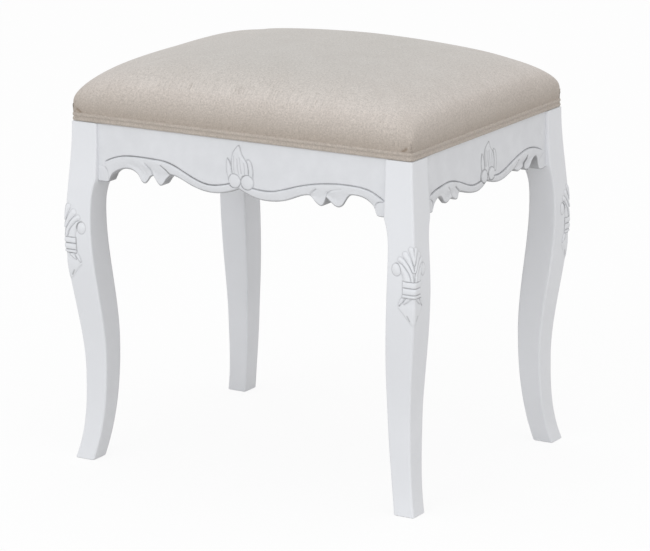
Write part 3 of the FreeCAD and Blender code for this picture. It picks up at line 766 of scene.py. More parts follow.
def leg_mesh(sign_x, sign_y, shift):
    """Carved leg at the corner with these signs, with its carving shifted up."""
    sizes = bpy.context.scene.stool_legs
    below, carved, above = LEG_ROWS
    low, high = (sizes.knee_height + level * MM for level in KNEE_ZONE)
    heights = np.concatenate(
        [
            [0.0],
            np.linspace(sizes.end_ease, low, below, endpoint=False),
            np.linspace(low, high, carved, endpoint=False),
            np.linspace(high, FRAME_TOP - sizes.end_ease, above),
            [FRAME_TOP],
        ]
    )
    outer, inner = leg_faces(sizes, heights)
    ease = np.zeros_like(heights)
    ease[[0, -1]] = sizes.end_ease
    rings = [leg_outline(o - e, i + e, sizes.edge_radius) for o, i, e in zip(outer, inner, ease)]
    x, y, way_x, way_y, away = np.moveaxis(np.array(rings), 2, 0)
    across = away / MM * np.where(way_x > way_y, KNEE_SIDE, 1.0)
    over_knee = (heights - sizes.knee_height)[:, None] / MM - shift
    relief, lines = knee_relief(across, over_knee + np.zeros_like(across))
    outwards = (np.maximum(way_x, way_y) > 0.6) & (np.minimum(way_x, way_y) > -0.01)
    relief, lines = (np.where(outwards, part, 0.0) for part in (relief, lines))
    # Painted shade in the hollows of the carving, and its dark lines, partly glaze and partly painted shade.
    glaze = np.maximum(0.6 * hollows(relief, 0.45), sizes.line_glazing_and_painted_shade * lines)
    raised = relief * sizes.carving_height
    mesh = shaped_grid(
        sign_x * (LONG_HALF + sizes.post + x + raised * way_x),
        sign_y * (SHORT_HALF + sizes.post + y + raised * way_y),
        heights[:, None],
        glaze,
    )
    close_up(mesh)
    return mesh


class STOOL_OT_legs(bpy.types.Operator):
    """Make the four cabriole legs with their carved knees."""

    bl_idname = "stool.legs"
    bl_label = "Make legs"

    def execute(self, context):
        look = shared_look("painted_wood", paint_look)
        for name, signs in CORNERS.items():
            mesh = leg_mesh(*signs, KNEE_SHIFT.get(name, 0.0))
            add_piece(mesh, "carved_leg_" + name, look, ["leg_" + name])
        return {"FINISHED"}


# Aprons

# Rows of an apron's grid on its field and on the band below the groove, and the slope of the field into
# the groove.
FIELD_ROWS, BAND_ROWS = 62, 38
GROOVE_SLOPE = 1.5


def apron_lines(lines, away):
    """Lower edge, groove and rim of half an apron at each distance from its middle."""
    width = bpy.context.scene.stool_aprons.rim_width / MM
    edge = curve_through(lines.edge, away)
    groove = curve_through(lines.groove, away)
    cut_along, cut_drop = zip(*lines.cuts[0])
    rim = np.maximum(np.interp(away, cut_along, cut_drop), groove + width)
    rim = np.where(away < cut_along[0], edge + width, rim)
    return edge, groove, rim


def side_of(cut, drop):
    """Where a cut between lobes lies at each drop."""
    alongs, drops = zip(*reversed(cut))
    return np.interp(drop, drops, alongs)


def lobe_relief(lines, away, drop, hang):
    """The two dished lobes and the hollow over the arch. Hang is 0 at the rim and 1 at the lower edge."""
    sizes = bpy.context.scene.stool_aprons
    inner, middle, outer = (side_of(cut, drop) for cut in lines.cuts)
    near = np.clip((away - inner) / (middle - inner), 0.0, 1.0)
    far = np.clip((away - middle) / (outer - middle), 0.0, 1.0)
    fall = 1.0 - smooth_rise(hang, 0.0, 0.6)
    sweep = (sizes.bead_height * fall + sizes.flare * hang**1.5 - sizes.scoop_depth * (1.0 - fall)) / MM
    flute, lip = 4 * sizes.flute_depth / MM, sizes.lobe_lip / MM
    step = lip * (1.0 - smooth_rise(near, 0.0, 0.3)) + lip * smooth_rise(near, 0.55, 1.0)
    inner_lobe = sweep - flute * near * (1 - near) - step
    veins = 0.12 * np.cos(far * math.pi * 9) * smooth_rise(hang, 0.15, 0.4)
    outer_lobe = sweep - flute * far * (1 - far) + lip * (1 - smooth_rise(far, 0.0, 0.35)) + veins
    past = smooth_rise(far, 0.6, 1.0)
    arch = sizes.bead_height / MM * (1.0 - 0.9 * hang)
    outer_lobe = outer_lobe * (1 - past) + arch * past
    return np.where(away < middle, inner_lobe, outer_lobe)


def band_relief(lines, away, drop, edge, groove, rim):
    """Field, groove, bead and lobes of half an apron, and the dark lines between them."""
    sizes = bpy.context.scene.stool_aprons
    deep, high = sizes.groove_depth / MM, sizes.bead_height / MM
    below = drop - groove
    field = -deep * np.clip(1.0 + below / 1.3, 0.0, 1.0)
    roll = sizes.bead_roll / MM * np.clip(below / (edge - groove), 0.0, 1.0) ** 2
    bead = (high + deep) * quarter_round(below, 1.8) - deep - roll
    hang = np.clip((drop - rim) / np.maximum(edge - rim, 1.0), 0.0, 1.0)
    soft = 0.5 + 2.0 * smooth_rise(away, lines.cuts[0][-1][0], lines.cuts[0][-1][0] + 8.0)
    under = smooth_rise((drop - rim) / soft, -1.0, 1.0)
    band = bead + (lobe_relief(lines, away, drop, hang) - bead) * under
    cuts = [strand_depth([(*knot, 0.0) for knot in cut], away, drop)[0] for cut in lines.cuts[:2]]
    first, second = (line_at(cut, 1.8 * LINE) for cut in cuts)
    relief = np.where(below < 0, field, band - 0.7 * np.maximum(first, 0.5 * second))
    runs = 1.0 - smooth_rise(away, lines.groove_end - 3.0, lines.groove_end + 3.0)
    groove_line = runs * line_at(below, 1.1 * LINE)
    # A painted shade line along the lower edge, where its rounding turns down.
    foot_line = 0.5 * line_at(edge - APRON_ROUND - drop, LINE)
    shades = [shade * line for shade, line in zip(lines.shades, (groove_line, first, second))]
    return 0.3 + (relief - 0.3) * runs, np.maximum.reduce(shades + [foot_line])


def flame_relief(apron, relief, dark, along, drop):
    """Lay the flame and its two berries over the middle of an apron."""
    sizes = bpy.context.scene.stool_aprons
    line = {"shade": apron.shade, "spread": apron.spread}
    across = along - apron.shift
    down = np.where(drop < FLAME_FORK, FLAME_FORK - (FLAME_FORK - drop) * apron.shorten, drop)
    for tongue in FLAME:
        drops, lefts, rights = zip(*tongue)
        left, right = np.interp(down, drops, lefts), np.interp(down, drops, rights)
        edges = (across - left, right - across, 0.8 * (down - drops[0]), FLAME_FOOT - down)
        depth = np.minimum.reduce(edges)
        half = np.clip((right - left) / 2, 0.6, 3.4)
        raised = (1.35 * quarter_round(depth, half) - 0.35) * apron.lift * sizes.flame_height / MM
        relief, dark = carve(relief, dark, depth, raised, **line)
    for vein in FLAME_VEINS:
        cut = line_at(strand_depth([(*knot, 0.0) for knot in vein], across, down)[0], 1.3 * apron.spread)
        relief = relief - 0.7 * cut
        dark = np.maximum(dark, 0.6 * apron.shade * cut)
    for x, d, half_x, half_d in apron.berries:
        reach = np.hypot((along - x) / half_x, (drop - d) / half_d)
        ring = line_at(reach - 0.62, 0.1)
        dome = np.sqrt(np.maximum(1.0 - reach**4, 0.0)) * sizes.berry_height / MM - 0.15 * ring
        relief, dark = carve(relief, dark, (1.0 - reach) * half_x, dome, **line)
        dark = np.maximum(dark, np.where(reach < 1.0, 0.1 * ring, 0.0))
    return relief, dark


def carved_half(lines, half):
    """Half an apron in columns: distances from the middle, lower edge, drops of the rows, relief, dark lines
    and the thickness left at the lower edge."""
    sizes = bpy.context.scene.stool_aprons
    stops = [knot[0] for knot in lines.edge if knot[0] < half] + [half]
    counts = [max(round((b - a) * MM / sizes.column), 1) for a, b in zip(stops, stops[1:])]
    runs = [np.linspace(a, b, n, endpoint=False) for a, b, n in zip(stops, stops[1:], counts)]
    away = np.concatenate(runs + [[half]])
    edge, groove, rim = (line[:, None] for line in apron_lines(lines, away))
    shares = np.linspace(0.0, 1.0, FIELD_ROWS, endpoint=False)
    field = APRON_EASE + (groove - GROOVE_SLOPE - APRON_EASE) * shares
    slope = groove - GROOVE_SLOPE * np.array([1.0, 0.66, 0.33])
    band = groove + (edge - APRON_ROUND - groove) * np.linspace(0.0, 1.0, BAND_ROWS)
    drops = np.concatenate([field, slope, band], axis=1)
    wide = away[:, None] + np.zeros_like(drops)
    relief, dark = band_relief(lines, wide, drops, edge, groove, rim)
    reach, rise = lines.block
    block = ((half - wide) / reach) ** 4 + (np.maximum(sizes.end_block / MM - drops, 0.0) / rise) ** 4
    depth = (1.0 - np.maximum(block, 1e-9) ** 0.25) * reach
    pillow = sizes.block_height / MM * quarter_round(depth, 3.0)
    relief, dark = carve(relief, dark, depth, pillow, shade=0.22)
    low, high = lines.cuts[1][0][0], lines.cuts[2][2][0]
    on_lobe = smooth_rise(away, low - 0.2, low + 0.8) * smooth_rise(-away, -high - 3.0, -high)
    board, lobe = lines.thickness
    foot = board + (lobe - board) * on_lobe
    return away, edge, drops, relief, dark, foot[:, None]


def apron_mesh(apron, half, face, turn):
    """Carved apron, drawn facing the front with its field at this distance, then turned by quarters."""
    sizes = bpy.context.scene.stool_aprons
    left, right = (carved_half(lines, half) for lines in apron.halves)
    along = np.concatenate([-left[0][:0:-1], right[0]])[:, None]
    low, drops, relief, dark, foot = (np.concatenate([a[:0:-1], b]) for a, b in zip(left[1:], right[1:]))
    relief, dark = flame_relief(apron, relief, dark, along + np.zeros_like(drops), drops)
    chisel = np.sin(along * 1.9 + 0.6 * drops) * np.sin(0.37 * along - 0.9 * drops)
    relief = relief - 0.3 * dark + 0.06 * chisel * smooth_rise(np.abs(relief), 0.1, 0.5)
    # Painted shade in the hollows of the carving, and its dark lines, partly glaze and partly painted shade.
    glaze = np.maximum(0.5 * hollows(relief, 0.6), dark)

    back = -sizes.thickness / MM
    last = relief[:, -1:]
    angles = np.radians([30.0, 60.0, 90.0])
    thinned = low - 1.1 * (-back - foot)
    # An even grey over the apron, and painted shade on its lower edge, which faces down.
    field, edge = sizes.apron_grey, sizes.foot_painted_shade
    # Round the board from its back: (drop, distance out from the field, glaze and painted shade). The
    # rounding and underside of the lower edge get painted shade, as they face down.
    section = (
        (0.0, back, field),
        (0.0, -APRON_EASE, field),
        (0.3 * APRON_EASE, -0.3 * APRON_EASE, field),
        (drops, relief, np.maximum(glaze, field)),
        (low - APRON_ROUND * (1 - np.sin(angles)), last - APRON_ROUND * (1 - np.cos(angles)), edge),
        (low, (last - APRON_ROUND) * 0.5 - foot * 0.5, edge),
        (low, -foot, edge),
        (thinned, back, field),
        (thinned * np.array([0.66, 0.33]), back, field),
        (0.0, back, field),
    )
    spread_out = (np.broadcast_arrays(*part, along)[:3] for part in section)
    down, out, shade = (np.concatenate(parts, axis=1) for parts in zip(*spread_out))
    mesh = shaped_grid(along * MM, -face - out * MM, FRAME_TOP - down * MM, shade)
    close_up(mesh)
    quarter = Matrix.Rotation(math.radians(90.0 * turn), 3, "Z")
    bmesh.ops.rotate(mesh, verts=mesh.verts, cent=(0, 0, 0), matrix=quarter)
    return mesh


class STOOL_OT_aprons(bpy.types.Operator):
    """Make the four carved and scalloped aprons."""

    bl_idname = "stool.aprons"
    bl_label = "Make aprons"

    def execute(self, context):
        look = shared_look("painted_wood", paint_look)
        setback = context.scene.stool_aprons.setback
        post = context.scene.stool_legs.post
        kinds = ((LONG_APRON, LONG_HALF, SHORT_HALF), (SHORT_APRON, SHORT_HALF, LONG_HALF))
        for name, turn in SIDES.items():
            apron, half, other = kinds[turn % 2]
            mesh = apron_mesh(apron, half / MM, other + post - setback, turn)
            add_piece(mesh, "carved_apron_" + name, look, ["apron_" + name])
        return {"FINISHED"}


# Seat

# A slanting line on which no two edges or faces of the pad share a place.
SLANT = Vector((1.0, 0.6131, 0.2717))
# Steps of the welt round a corner of the pad.
WELT_TURNS = 8
# A bead of the welt shows this far up and down from its middle, in degrees, drawn in steps.
BEAD_ARC = 54.0
BEAD_STEPS = 12
# Columns and rows of the dust cover, and how far it sags.
DUST_COVER_GRID = (48, 36)
DUST_COVER_SAG = 1.2 * MM
# Settings and frames of the linen's cloth simulation.
CLOTH = {
    "quality": 6,
    "mass": 0.25,
    "tension_stiffness": 40,
    "compression_stiffness": 20,
    "shear_stiffness": 8,
    "bending_stiffness": 2,
}
CLOTH_FRAMES = 20


def pad_half_sizes(inset):
    """Half sizes of the pad's plan at this inset from the linen's face."""
    post = bpy.context.scene.stool_legs.post
    step = bpy.context.scene.stool_seat.inset + inset
    return LONG_HALF + post - step, SHORT_HALF + post - step


def spread_shares(half, height, roundness, fullness, cell):
    """Shares from -1 to 1 across the crown, spaced evenly along its curve."""
    fine = np.concatenate([np.linspace(0, 0.98, 400), 1.0 - 0.02 * np.linspace(1, 0, 400)[1:] ** 3])
    rise = height * np.maximum(1.0 - fine**roundness, 0.0) ** fullness
    path = np.concatenate([[0.0], np.cumsum(np.hypot(np.diff(fine * half), np.diff(rise)))])
    count = max(round(path[-1] / cell), 4)
    side = np.interp(np.linspace(0, path[-1], count + 1), path, fine)
    side[-1] = 1.0
    return np.concatenate([-side[:0:-1], side])


def rounded_plan(x, y, half_x, half_y, radius):
    """Plan place of a point of a rectangle when its corners are rounded."""
    over_x = np.maximum(np.abs(x) - (half_x - radius), 0.0)
    over_y = np.maximum(np.abs(y) - (half_y - radius), 0.0)
    both = np.hypot(over_x, over_y)
    reach = np.maximum(over_x, over_y)
    shrink = np.where((over_x > 0) & (over_y > 0), reach / np.maximum(both, 1e-9), 1.0)
    return x - np.sign(x) * over_x * (1.0 - shrink), y - np.sign(y) * over_y * (1.0 - shrink)


def crown_mesh(inset, cell):
    """Open crowned sheet over the pad, inset from the linen's face, down to the top of its upright side."""
    sizes = bpy.context.scene.stool_seat
    half_x, half_y = pad_half_sizes(inset)
    height = sizes.crown - inset
    u = spread_shares(half_x, height, sizes.roundness_x, sizes.fullness_x, cell)
    v = spread_shares(half_y, height, sizes.roundness_y, sizes.fullness_y, cell)
    across, along = np.meshgrid(u, v, indexing="ij")
    fall_x = np.maximum(1.0 - np.abs(across) ** sizes.roundness_x, 0.0) ** sizes.fullness_x
    fall_y = np.maximum(1.0 - np.abs(along) ** sizes.roundness_y, 0.0) ** sizes.fullness_y
    fall = fall_x * fall_y
    rise = height * (fall + sizes.corner_fill * (np.minimum(fall_x, fall_y) - fall))
    radius = max(sizes.corner_radius - inset, 2.0 * MM)
    x, y = rounded_plan(across * half_x, along * half_y, half_x, half_y, radius)
    return shaped_grid(x, y, FRAME_TOP + sizes.side_height + rise)


def put_in_order(mesh):
    """Sort edges and faces along a slanting line, so that they have the same order in each run."""
    mesh.edges.sort(key=lambda edge: (edge.verts[0].co + edge.verts[1].co).dot(SLANT))
    mesh.faces.sort(key=lambda face: face.calc_center_median().dot(SLANT))
    for elements in (mesh.verts, mesh.edges, mesh.faces):
        elements.index_update()


def drop_side(mesh, steps):
    """Extrude the open rim of a sheet through steps of (plan scale in x, in y, height)."""
    rim = [edge for edge in mesh.edges if edge.is_boundary]
    for scale_x, scale_y, height in steps:
        grown = bmesh.ops.extrude_edge_only(mesh, edges=rim)["geom"]
        for vert in [item for item in grown if isinstance(item, bmesh.types.BMVert)]:
            vert.co = (vert.co.x * scale_x, vert.co.y * scale_y, height)
        rim = [item for item in grown if isinstance(item, bmesh.types.BMEdge) and item.is_boundary]
    put_in_order(mesh)


def face_outwards(mesh):
    """Turn the faces of an open sheet to its outer side, which is up at its highest face."""
    bmesh.ops.recalc_face_normals(mesh, faces=mesh.faces)
    highest = max(mesh.faces, key=lambda face: face.calc_center_median().z)
    if highest.normal.z < 0:
        bmesh.ops.reverse_faces(mesh, faces=mesh.faces)


def scales(inset, change):
    """Plan scales that move the pad's side in by a change."""
    half_x, half_y = pad_half_sizes(inset)
    return (half_x - change) / half_x, (half_y - change) / half_y


def add_weave_map(data):
    """Map of the weave: the plan, unrolled over the sides so that the threads keep their spacing."""
    half_x, half_y = pad_half_sizes(0.0)
    layer = data.uv_layers.new(name="weave")
    side = FRAME_TOP + bpy.context.scene.stool_seat.side_height
    for polygon in data.polygons:
        for loop in polygon.loop_indices:
            x, y, z = data.vertices[data.loops[loop].vertex_index].co
            drop = side - z
            ways = (abs(x) / half_x, abs(y) / half_y)
            lean_x = max(0.0, min(1.0, (ways[0] - ways[1]) * 6 + 0.5))
            u = x + math.copysign(drop * lean_x, x)
            v = y + math.copysign(drop * (1.0 - lean_x), y)
            layer.data[loop].uv = (u, v)


def settle(piece, pinned, sizes):
    """Cloth simulation of the filling's pressure under the linen, held to a small give."""
    start = np.array([vert.co for vert in piece.data.vertices])
    group = piece.vertex_groups.new(name="pin")
    group.add(pinned, 1.0, "REPLACE")
    cloth = piece.modifiers.new("cloth", "CLOTH")
    for key, value in CLOTH.items():
        setattr(cloth.settings, key, value)
    cloth.settings.use_pressure = True
    cloth.settings.uniform_pressure_force = sizes.pressure
    cloth.settings.effector_weights.gravity = 0
    cloth.settings.vertex_group_mass = "pin"
    cloth.point_cache.frame_start = 1
    cloth.point_cache.frame_end = CLOTH_FRAMES
    for step in range(1, CLOTH_FRAMES + 1):
        bpy.context.scene.frame_set(step)
    shaped = piece.evaluated_get(bpy.context.evaluated_depsgraph_get())
    moved = np.array([vert.co for vert in shaped.data.vertices]) - start
    piece.modifiers.remove(cloth)
    bpy.context.scene.frame_set(1)
    ways = np.array([vert.normal for vert in piece.data.vertices])
    inwards = np.minimum(np.sum(moved * ways, axis=1, keepdims=True) + sizes.clearance, 0.0)
    moved = moved - inwards * ways
    size = np.linalg.norm(moved, axis=1, keepdims=True)
    held = moved * np.minimum(1.0, sizes.give / np.maximum(size, 1e-9))
    piece.data.vertices.foreach_set("co", (start + held).astype(np.float32).ravel())
    piece.data.update()


def refine(piece):
    """Divide a sheet once more, smoothly, and its foot at the corners twice."""
    sizes = bpy.context.scene.stool_seat
    half_x, half_y = pad_half_sizes(0.0)
    smooth = piece.modifiers.new("smooth", "SUBSURF")
    smooth.levels = smooth.render_levels = 1
    shaped = piece.evaluated_get(bpy.context.evaluated_depsgraph_get())
    mesh = bmesh.new()
    mesh.from_mesh(shaped.data)
    put_in_order(mesh)
    piece.modifiers.remove(smooth)
    top = FRAME_TOP + sizes.welt_height + CORNER_TUCK_ZONE * MM
    edges = {}
    for face in mesh.faces:
        x, y, z = face.calc_center_median()
        if z < top and abs(x) > half_x - CORNER_TUCK_ZONE * MM and abs(y) > half_y - 4.0 * MM:
            edges.update(dict.fromkeys(face.edges))
    bmesh.ops.subdivide_edges(mesh, edges=list(edges), cuts=2, use_grid_fill=True)
    mesh.to_mesh(piece.data)
    mesh.free()
    piece.data.shade_smooth()
    piece.data.set_sharp_from_angle(angle=math.pi)


def tuck(piece):
    """Draw the linen in over the welt in small uneven tucks, fold it at the corners, and darken both."""
    sizes = bpy.context.scene.stool_seat
    half_x, half_y = pad_half_sizes(0.0)
    places = np.array([vert.co for vert in piece.data.vertices])
    ways = np.array([vert.normal for vert in piece.data.vertices])
    x, y, z = places.T
    over = (z - FRAME_TOP - sizes.welt_height) / MM
    upright = smooth_rise(np.hypot(ways[:, 0], ways[:, 1]), 0.6, 0.95) * smooth_rise(over, -2.0, 0.0)
    on_short_side = half_x - np.abs(x) < half_y - np.abs(y)
    along = np.where(on_short_side, half_y - np.abs(y), np.abs(x) - half_x) / MM
    waves = 0.5 * np.sin(along / 4.1 + 1.3) + 0.3 * np.sin(along / 2.6 + 0.4) + 0.2 * np.sin(along / 7.3)
    fade = np.exp(-np.maximum(over, 0.0) / 6.0) * upright
    on_long_side = smooth_rise(np.abs(y), half_y - 5.0 * MM, half_y - 3.0 * MM)
    fold = strand_depth(CORNER_TUCK, (half_x - np.abs(x)) / MM, over)[0]
    fold = line_at(fold, 1.4) * on_long_side * upright
    push = sizes.tuck * fade * (0.6 + 0.4 * waves) + sizes.fold * fold
    moved = places - push[:, None] * ways
    piece.data.vertices.foreach_set("co", moved.astype(np.float32).ravel())
    # Darker over the welt and in the corner folds: partly dirt, partly painted shade in the creases.
    soil = piece.data.attributes.new("soil", "FLOAT", "POINT")
    soil.data.foreach_set("value", np.clip(0.33 * fade + fold, 0.0, 1.0).astype(np.float32))
    piece.data.update()


class STOOL_OT_linen_cover(bpy.types.Operator):
    """Make the linen cover, settle it over its filling and turn it under the board."""

    bl_idname = "stool.linen_cover"
    bl_label = "Make linen cover"

    def execute(self, context):
        sizes = context.scene.stool_seat
        mesh = crown_mesh(0.0, sizes.cell)
        foot = FRAME_TOP + 0.3 * MM
        steps = [
            (*scales(0.0, sizes.draw_in * 0.8), FRAME_TOP + sizes.welt_height),
            (*scales(0.0, sizes.draw_in * 0.1), FRAME_TOP + 5.0 * MM),
            (*scales(0.0, sizes.draw_in * 0.1), foot),
            (*scales(0.0, sizes.hem), foot),
        ]
        drop_side(mesh, steps)
        face_outwards(mesh)
        pinned = [vert.index for vert in mesh.verts if vert.co.z < FRAME_TOP + sizes.welt_height + 1.0 * MM]
        look = shared_look("linen", linen_look)
        piece = add_piece(mesh, "linen_cushion", look, ["linen_cover"], crease=60.0)
        settle(piece, pinned, sizes)
        refine(piece)
        tuck(piece)
        add_weave_map(piece.data)
        thick = piece.modifiers.new("thickness", "SOLIDIFY")
        thick.thickness = sizes.linen * 0.8
        thick.offset = -1.0
        return {"FINISHED"}


class STOOL_OT_filling(bpy.types.Operator):
    """Make the wadding and the foam under the linen."""

    bl_idname = "stool.filling"
    bl_label = "Make filling"

    def execute(self, context):
        sizes = context.scene.stool_seat
        colours = context.scene.stool_looks
        board_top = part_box("seat_board")[1].z
        wadding = crown_mesh(sizes.linen + sizes.clearance, 2 * sizes.cell)
        drop_side(wadding, [(1.0, 1.0, board_top + sizes.clearance)])
        face_outwards(wadding)
        bmesh.ops.solidify(wadding, geom=wadding.faces[:], thickness=sizes.wadding - sizes.clearance)
        bmesh.ops.recalc_face_normals(wadding, faces=wadding.faces)
        look = shared_look("wadding", soft_look, "wadding", colours.wadding, 300.0)
        add_piece(wadding, "wadding_layer", look, ["wadding"])
        foam = crown_mesh(sizes.linen + sizes.wadding + 3 * sizes.clearance, 2 * sizes.cell)
        drop_side(foam, [(1.0, 1.0, board_top + sizes.clearance)])
        close_up(foam)
        look = shared_look("foam", soft_look, "foam", colours.foam, 500.0)
        add_piece(foam, "foam_block", look, ["foam_pad"])
        return {"FINISHED"}


def rounded_path(half_x, half_y, radius, step):
    """Closed path round the pad, as points with outward ways, starting in the middle of the right side."""
    low_x, low_y = half_x - radius, half_y - radius
    runs = (
        (half_x, 0.0, half_x, low_y),
        (low_x, half_y, -low_x, half_y),
        (-half_x, low_y, -half_x, -low_y),
        (-low_x, -half_y, low_x, -half_y),
        (half_x, -low_y, half_x, 0.0),
    )
    path = []
    for quarter, (x0, y0, x1, y1) in enumerate(runs):
        way_x, way_y = ((1, 0), (0, 1), (-1, 0), (0, -1))[quarter % 4]
        count = max(round(math.dist((x0, y0), (x1, y1)) / step), 1)
        for share in np.linspace(0.0, 1.0, count + 1):
            path.append((x0 + share * (x1 - x0), y0 + share * (y1 - y0), way_x, way_y))
        if quarter < 4:
            for i in range(1, WELT_TURNS):
                angle = math.radians(90.0 * quarter + 90.0 * i / WELT_TURNS)
                turn_x, turn_y = math.cos(angle), math.sin(angle)
                x, y = math.copysign(low_x, turn_x), math.copysign(low_y, turn_y)
                path.append((x + radius * turn_x, y + radius * turn_y, turn_x, turn_y))
    return np.array(path)


class STOOL_OT_welt(bpy.types.Operator):
    """Make the double welt: two covered cords round the foot of the pad, joined on the right side."""

    bl_idname = "stool.welt"
    bl_label = "Make welt"

    def execute(self, context):
        sizes = context.scene.stool_seat
        half_x, half_y = pad_half_sizes(sizes.draw_in * 0.5)
        radius = sizes.corner_radius - sizes.draw_in * 0.5
        path = rounded_path(half_x, half_y, radius, 2.0 * MM)
        travel = np.concatenate([[0.0], np.cumsum(np.hypot(*np.diff(path[:, :2], axis=0).T))])
        join = line_at(travel - (SHORT_HALF - 1.0 * MM), 1.1 * MM)
        bead = sizes.welt_height / 4
        turns = np.radians(np.linspace(-BEAD_ARC, BEAD_ARC, BEAD_STEPS))
        rounds, rises = np.cos(turns) * bead, np.sin(turns) * bead * 0.98
        outs = np.concatenate([[-bead], rounds, rounds, [-bead, -bead]])
        ups = np.concatenate([[0.0], bead + rises, 3 * bead + rises, [4 * bead, 0.0]])
        waver = 1.0 + 0.03 * np.sin(travel * 410.0) + 0.03 * np.sin(travel * 173.0 + 1.0)
        swell = (1.0 - 0.45 * join) * waver
        out = outs * np.where(outs > 0, swell[:, None], 1.0) + sizes.welt_bulge - bead
        x, y, way_x, way_y = (part[:, None] for part in path.T)
        mesh = shaped_grid(x + way_x * out, y + way_y * out, FRAME_TOP + 0.05 * MM + ups)
        layer = mesh.loops.layers.uv.new("weave")
        for face in mesh.faces:
            for loop in face.loops:
                loop[layer].uv = (loop.vert.co.x + loop.vert.co.y, loop.vert.co.z + 0.7 * loop.vert.co.x)
        close_up(mesh)
        look = shared_look("linen", linen_look)
        add_piece(mesh, "linen_double_welt", look, ["double_welt"], crease=80.0)
        return {"FINISHED"}


class STOOL_OT_dust_cover(bpy.types.Operator):
    """Make the dust cover, stretched under the board with its corners cut off."""

    bl_idname = "stool.dust_cover"
    bl_label = "Make dust cover"

    def execute(self, context):
        low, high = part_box("dust_cover")
        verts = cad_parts["dust_cover"].data.vertices
        snip = high.y - max(vert.co.y for vert in verts if vert.co.x > high.x - 0.1 * MM)
        mesh = bmesh.new()
        columns, rows = DUST_COVER_GRID
        bmesh.ops.create_grid(mesh, x_segments=columns, y_segments=rows, size=1.0)
        for vert in mesh.verts:
            vert.co = (vert.co.x * high.x, vert.co.y * high.y, (low.z + high.z) / 2)
        for sign_x, sign_y in CORNERS.values():
            place = Vector((sign_x * high.x, sign_y * (high.y - snip), 0))
            way = Vector((sign_x, sign_y, 0)).normalized()
            geom = mesh.verts[:] + mesh.edges[:] + mesh.faces[:]
            bmesh.ops.bisect_plane(mesh, geom=geom, plane_co=place, plane_no=way, clear_outer=True)
        for vert in mesh.verts:
            reach = max(abs(vert.co.x) / high.x, abs(vert.co.y) / high.y)
            vert.co.z -= DUST_COVER_SAG * (1 - reach**2)
        thickness = high.z - low.z
        bmesh.ops.solidify(mesh, geom=mesh.faces[:], thickness=thickness * 0.6)
        bmesh.ops.recalc_face_normals(mesh, faces=mesh.faces)
        look = shared_look("cambric", soft_look, "cambric", context.scene.stool_looks.cambric, 900.0)
        piece = add_piece(mesh, "cambric_dust_cover", look, ["dust_cover"])
        return {"FINISHED"}


class STOOL_OT_hidden_parts(bpy.types.Operator):
    """Give the blocks, board, dowels, screws and staples their finishes."""

    bl_idname = "stool.hidden_parts"
    bl_label = "Finish hidden parts"

    def execute(self, context):
        colours = context.scene.stool_looks
        wood = shared_look("bare_wood", grain_look, "bare_wood", colours.bare_wood, (25.0, 25.0, 320.0))
        board = shared_look("plywood", plywood_look)
        screws = shared_look("plated_steel", steel_look, "plated_steel")
        staples = shared_look("staple_steel", steel_look, "staple_steel")
        looks = {"seat_board": board, "apron_dowels": wood}
        looks.update({"corner_block_" + name: wood for name in CORNERS})
        looks.update({name: screws for name in ("corner_block_screws", "seat_screws")})
        looks.update({name: staples for name in ("linen_staples", "dust_cover_staples")})
        for name, look in looks.items():
            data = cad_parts[name].data
            data.materials.clear()
            data.materials.append(look)
        return {"FINISHED"}


# Stage

# A light is (place, size, tint). All are turned to one point.
LIGHTS = {
    "key": ((-0.6, -3.1, 2.5), 1.6, (0.92, 0.96, 1.0)),
    "front": ((0.7, -3.1, 0.6), 1.6, (0.94, 0.97, 1.0)),
    "fill": ((2.6, -1.2, 0.8), 2.0, (1.0, 1.0, 1.0)),
}
LIGHTS_AIM = (0.0, 0.0, 0.25)
# The floor throws back slightly warm light. Where it is seen it is white, and most of its white is its
# own glow. It lies just under the feet.
WHITE = (1.0, 1.0, 1.0)
FLOOR_TINT = (1.0, 0.985, 0.965)
FLOOR_SEEN = (0.98, 0.98, 0.98)
FLOOR_GLOW = 0.88
FLOOR_HALF = 12.0
FLOOR_DROP = 0.2 * MM
SENSOR_WIDTH = 36.0


def camera_axes(stage):
    """Right, up and backward ways of the camera, and its place."""
    azimuth, elevation, roll = map(math.radians, (stage.azimuth, stage.elevation, stage.roll))
    level = Vector((math.cos(azimuth), math.sin(azimuth), 0.0))
    towards = Vector((math.sin(azimuth), -math.cos(azimuth), 0.0))
    back = math.cos(elevation) * towards + math.sin(elevation) * Vector((0.0, 0.0, 1.0))
    lift = back.cross(level)
    right = math.cos(roll) * level + math.sin(roll) * lift
    up = math.cos(roll) * lift - math.sin(roll) * level
    place = Vector(stage.target) + back * stage.distance + right * stage.shift_right + up * stage.shift_up
    return right, up, back, place


def add_area_light(name, place, size, power, tint):
    """Square light turned to the seat's foot."""
    light = bpy.data.lights.new(name, "AREA")
    light.size = size
    light.energy = power
    light.color = tint
    lamp = bpy.data.objects.new(name, light)
    lamp.location = place
    lamp.rotation_euler = (Vector(LIGHTS_AIM) - Vector(place)).to_track_quat("-Z", "Y").to_euler()
    bpy.context.collection.objects.link(lamp)


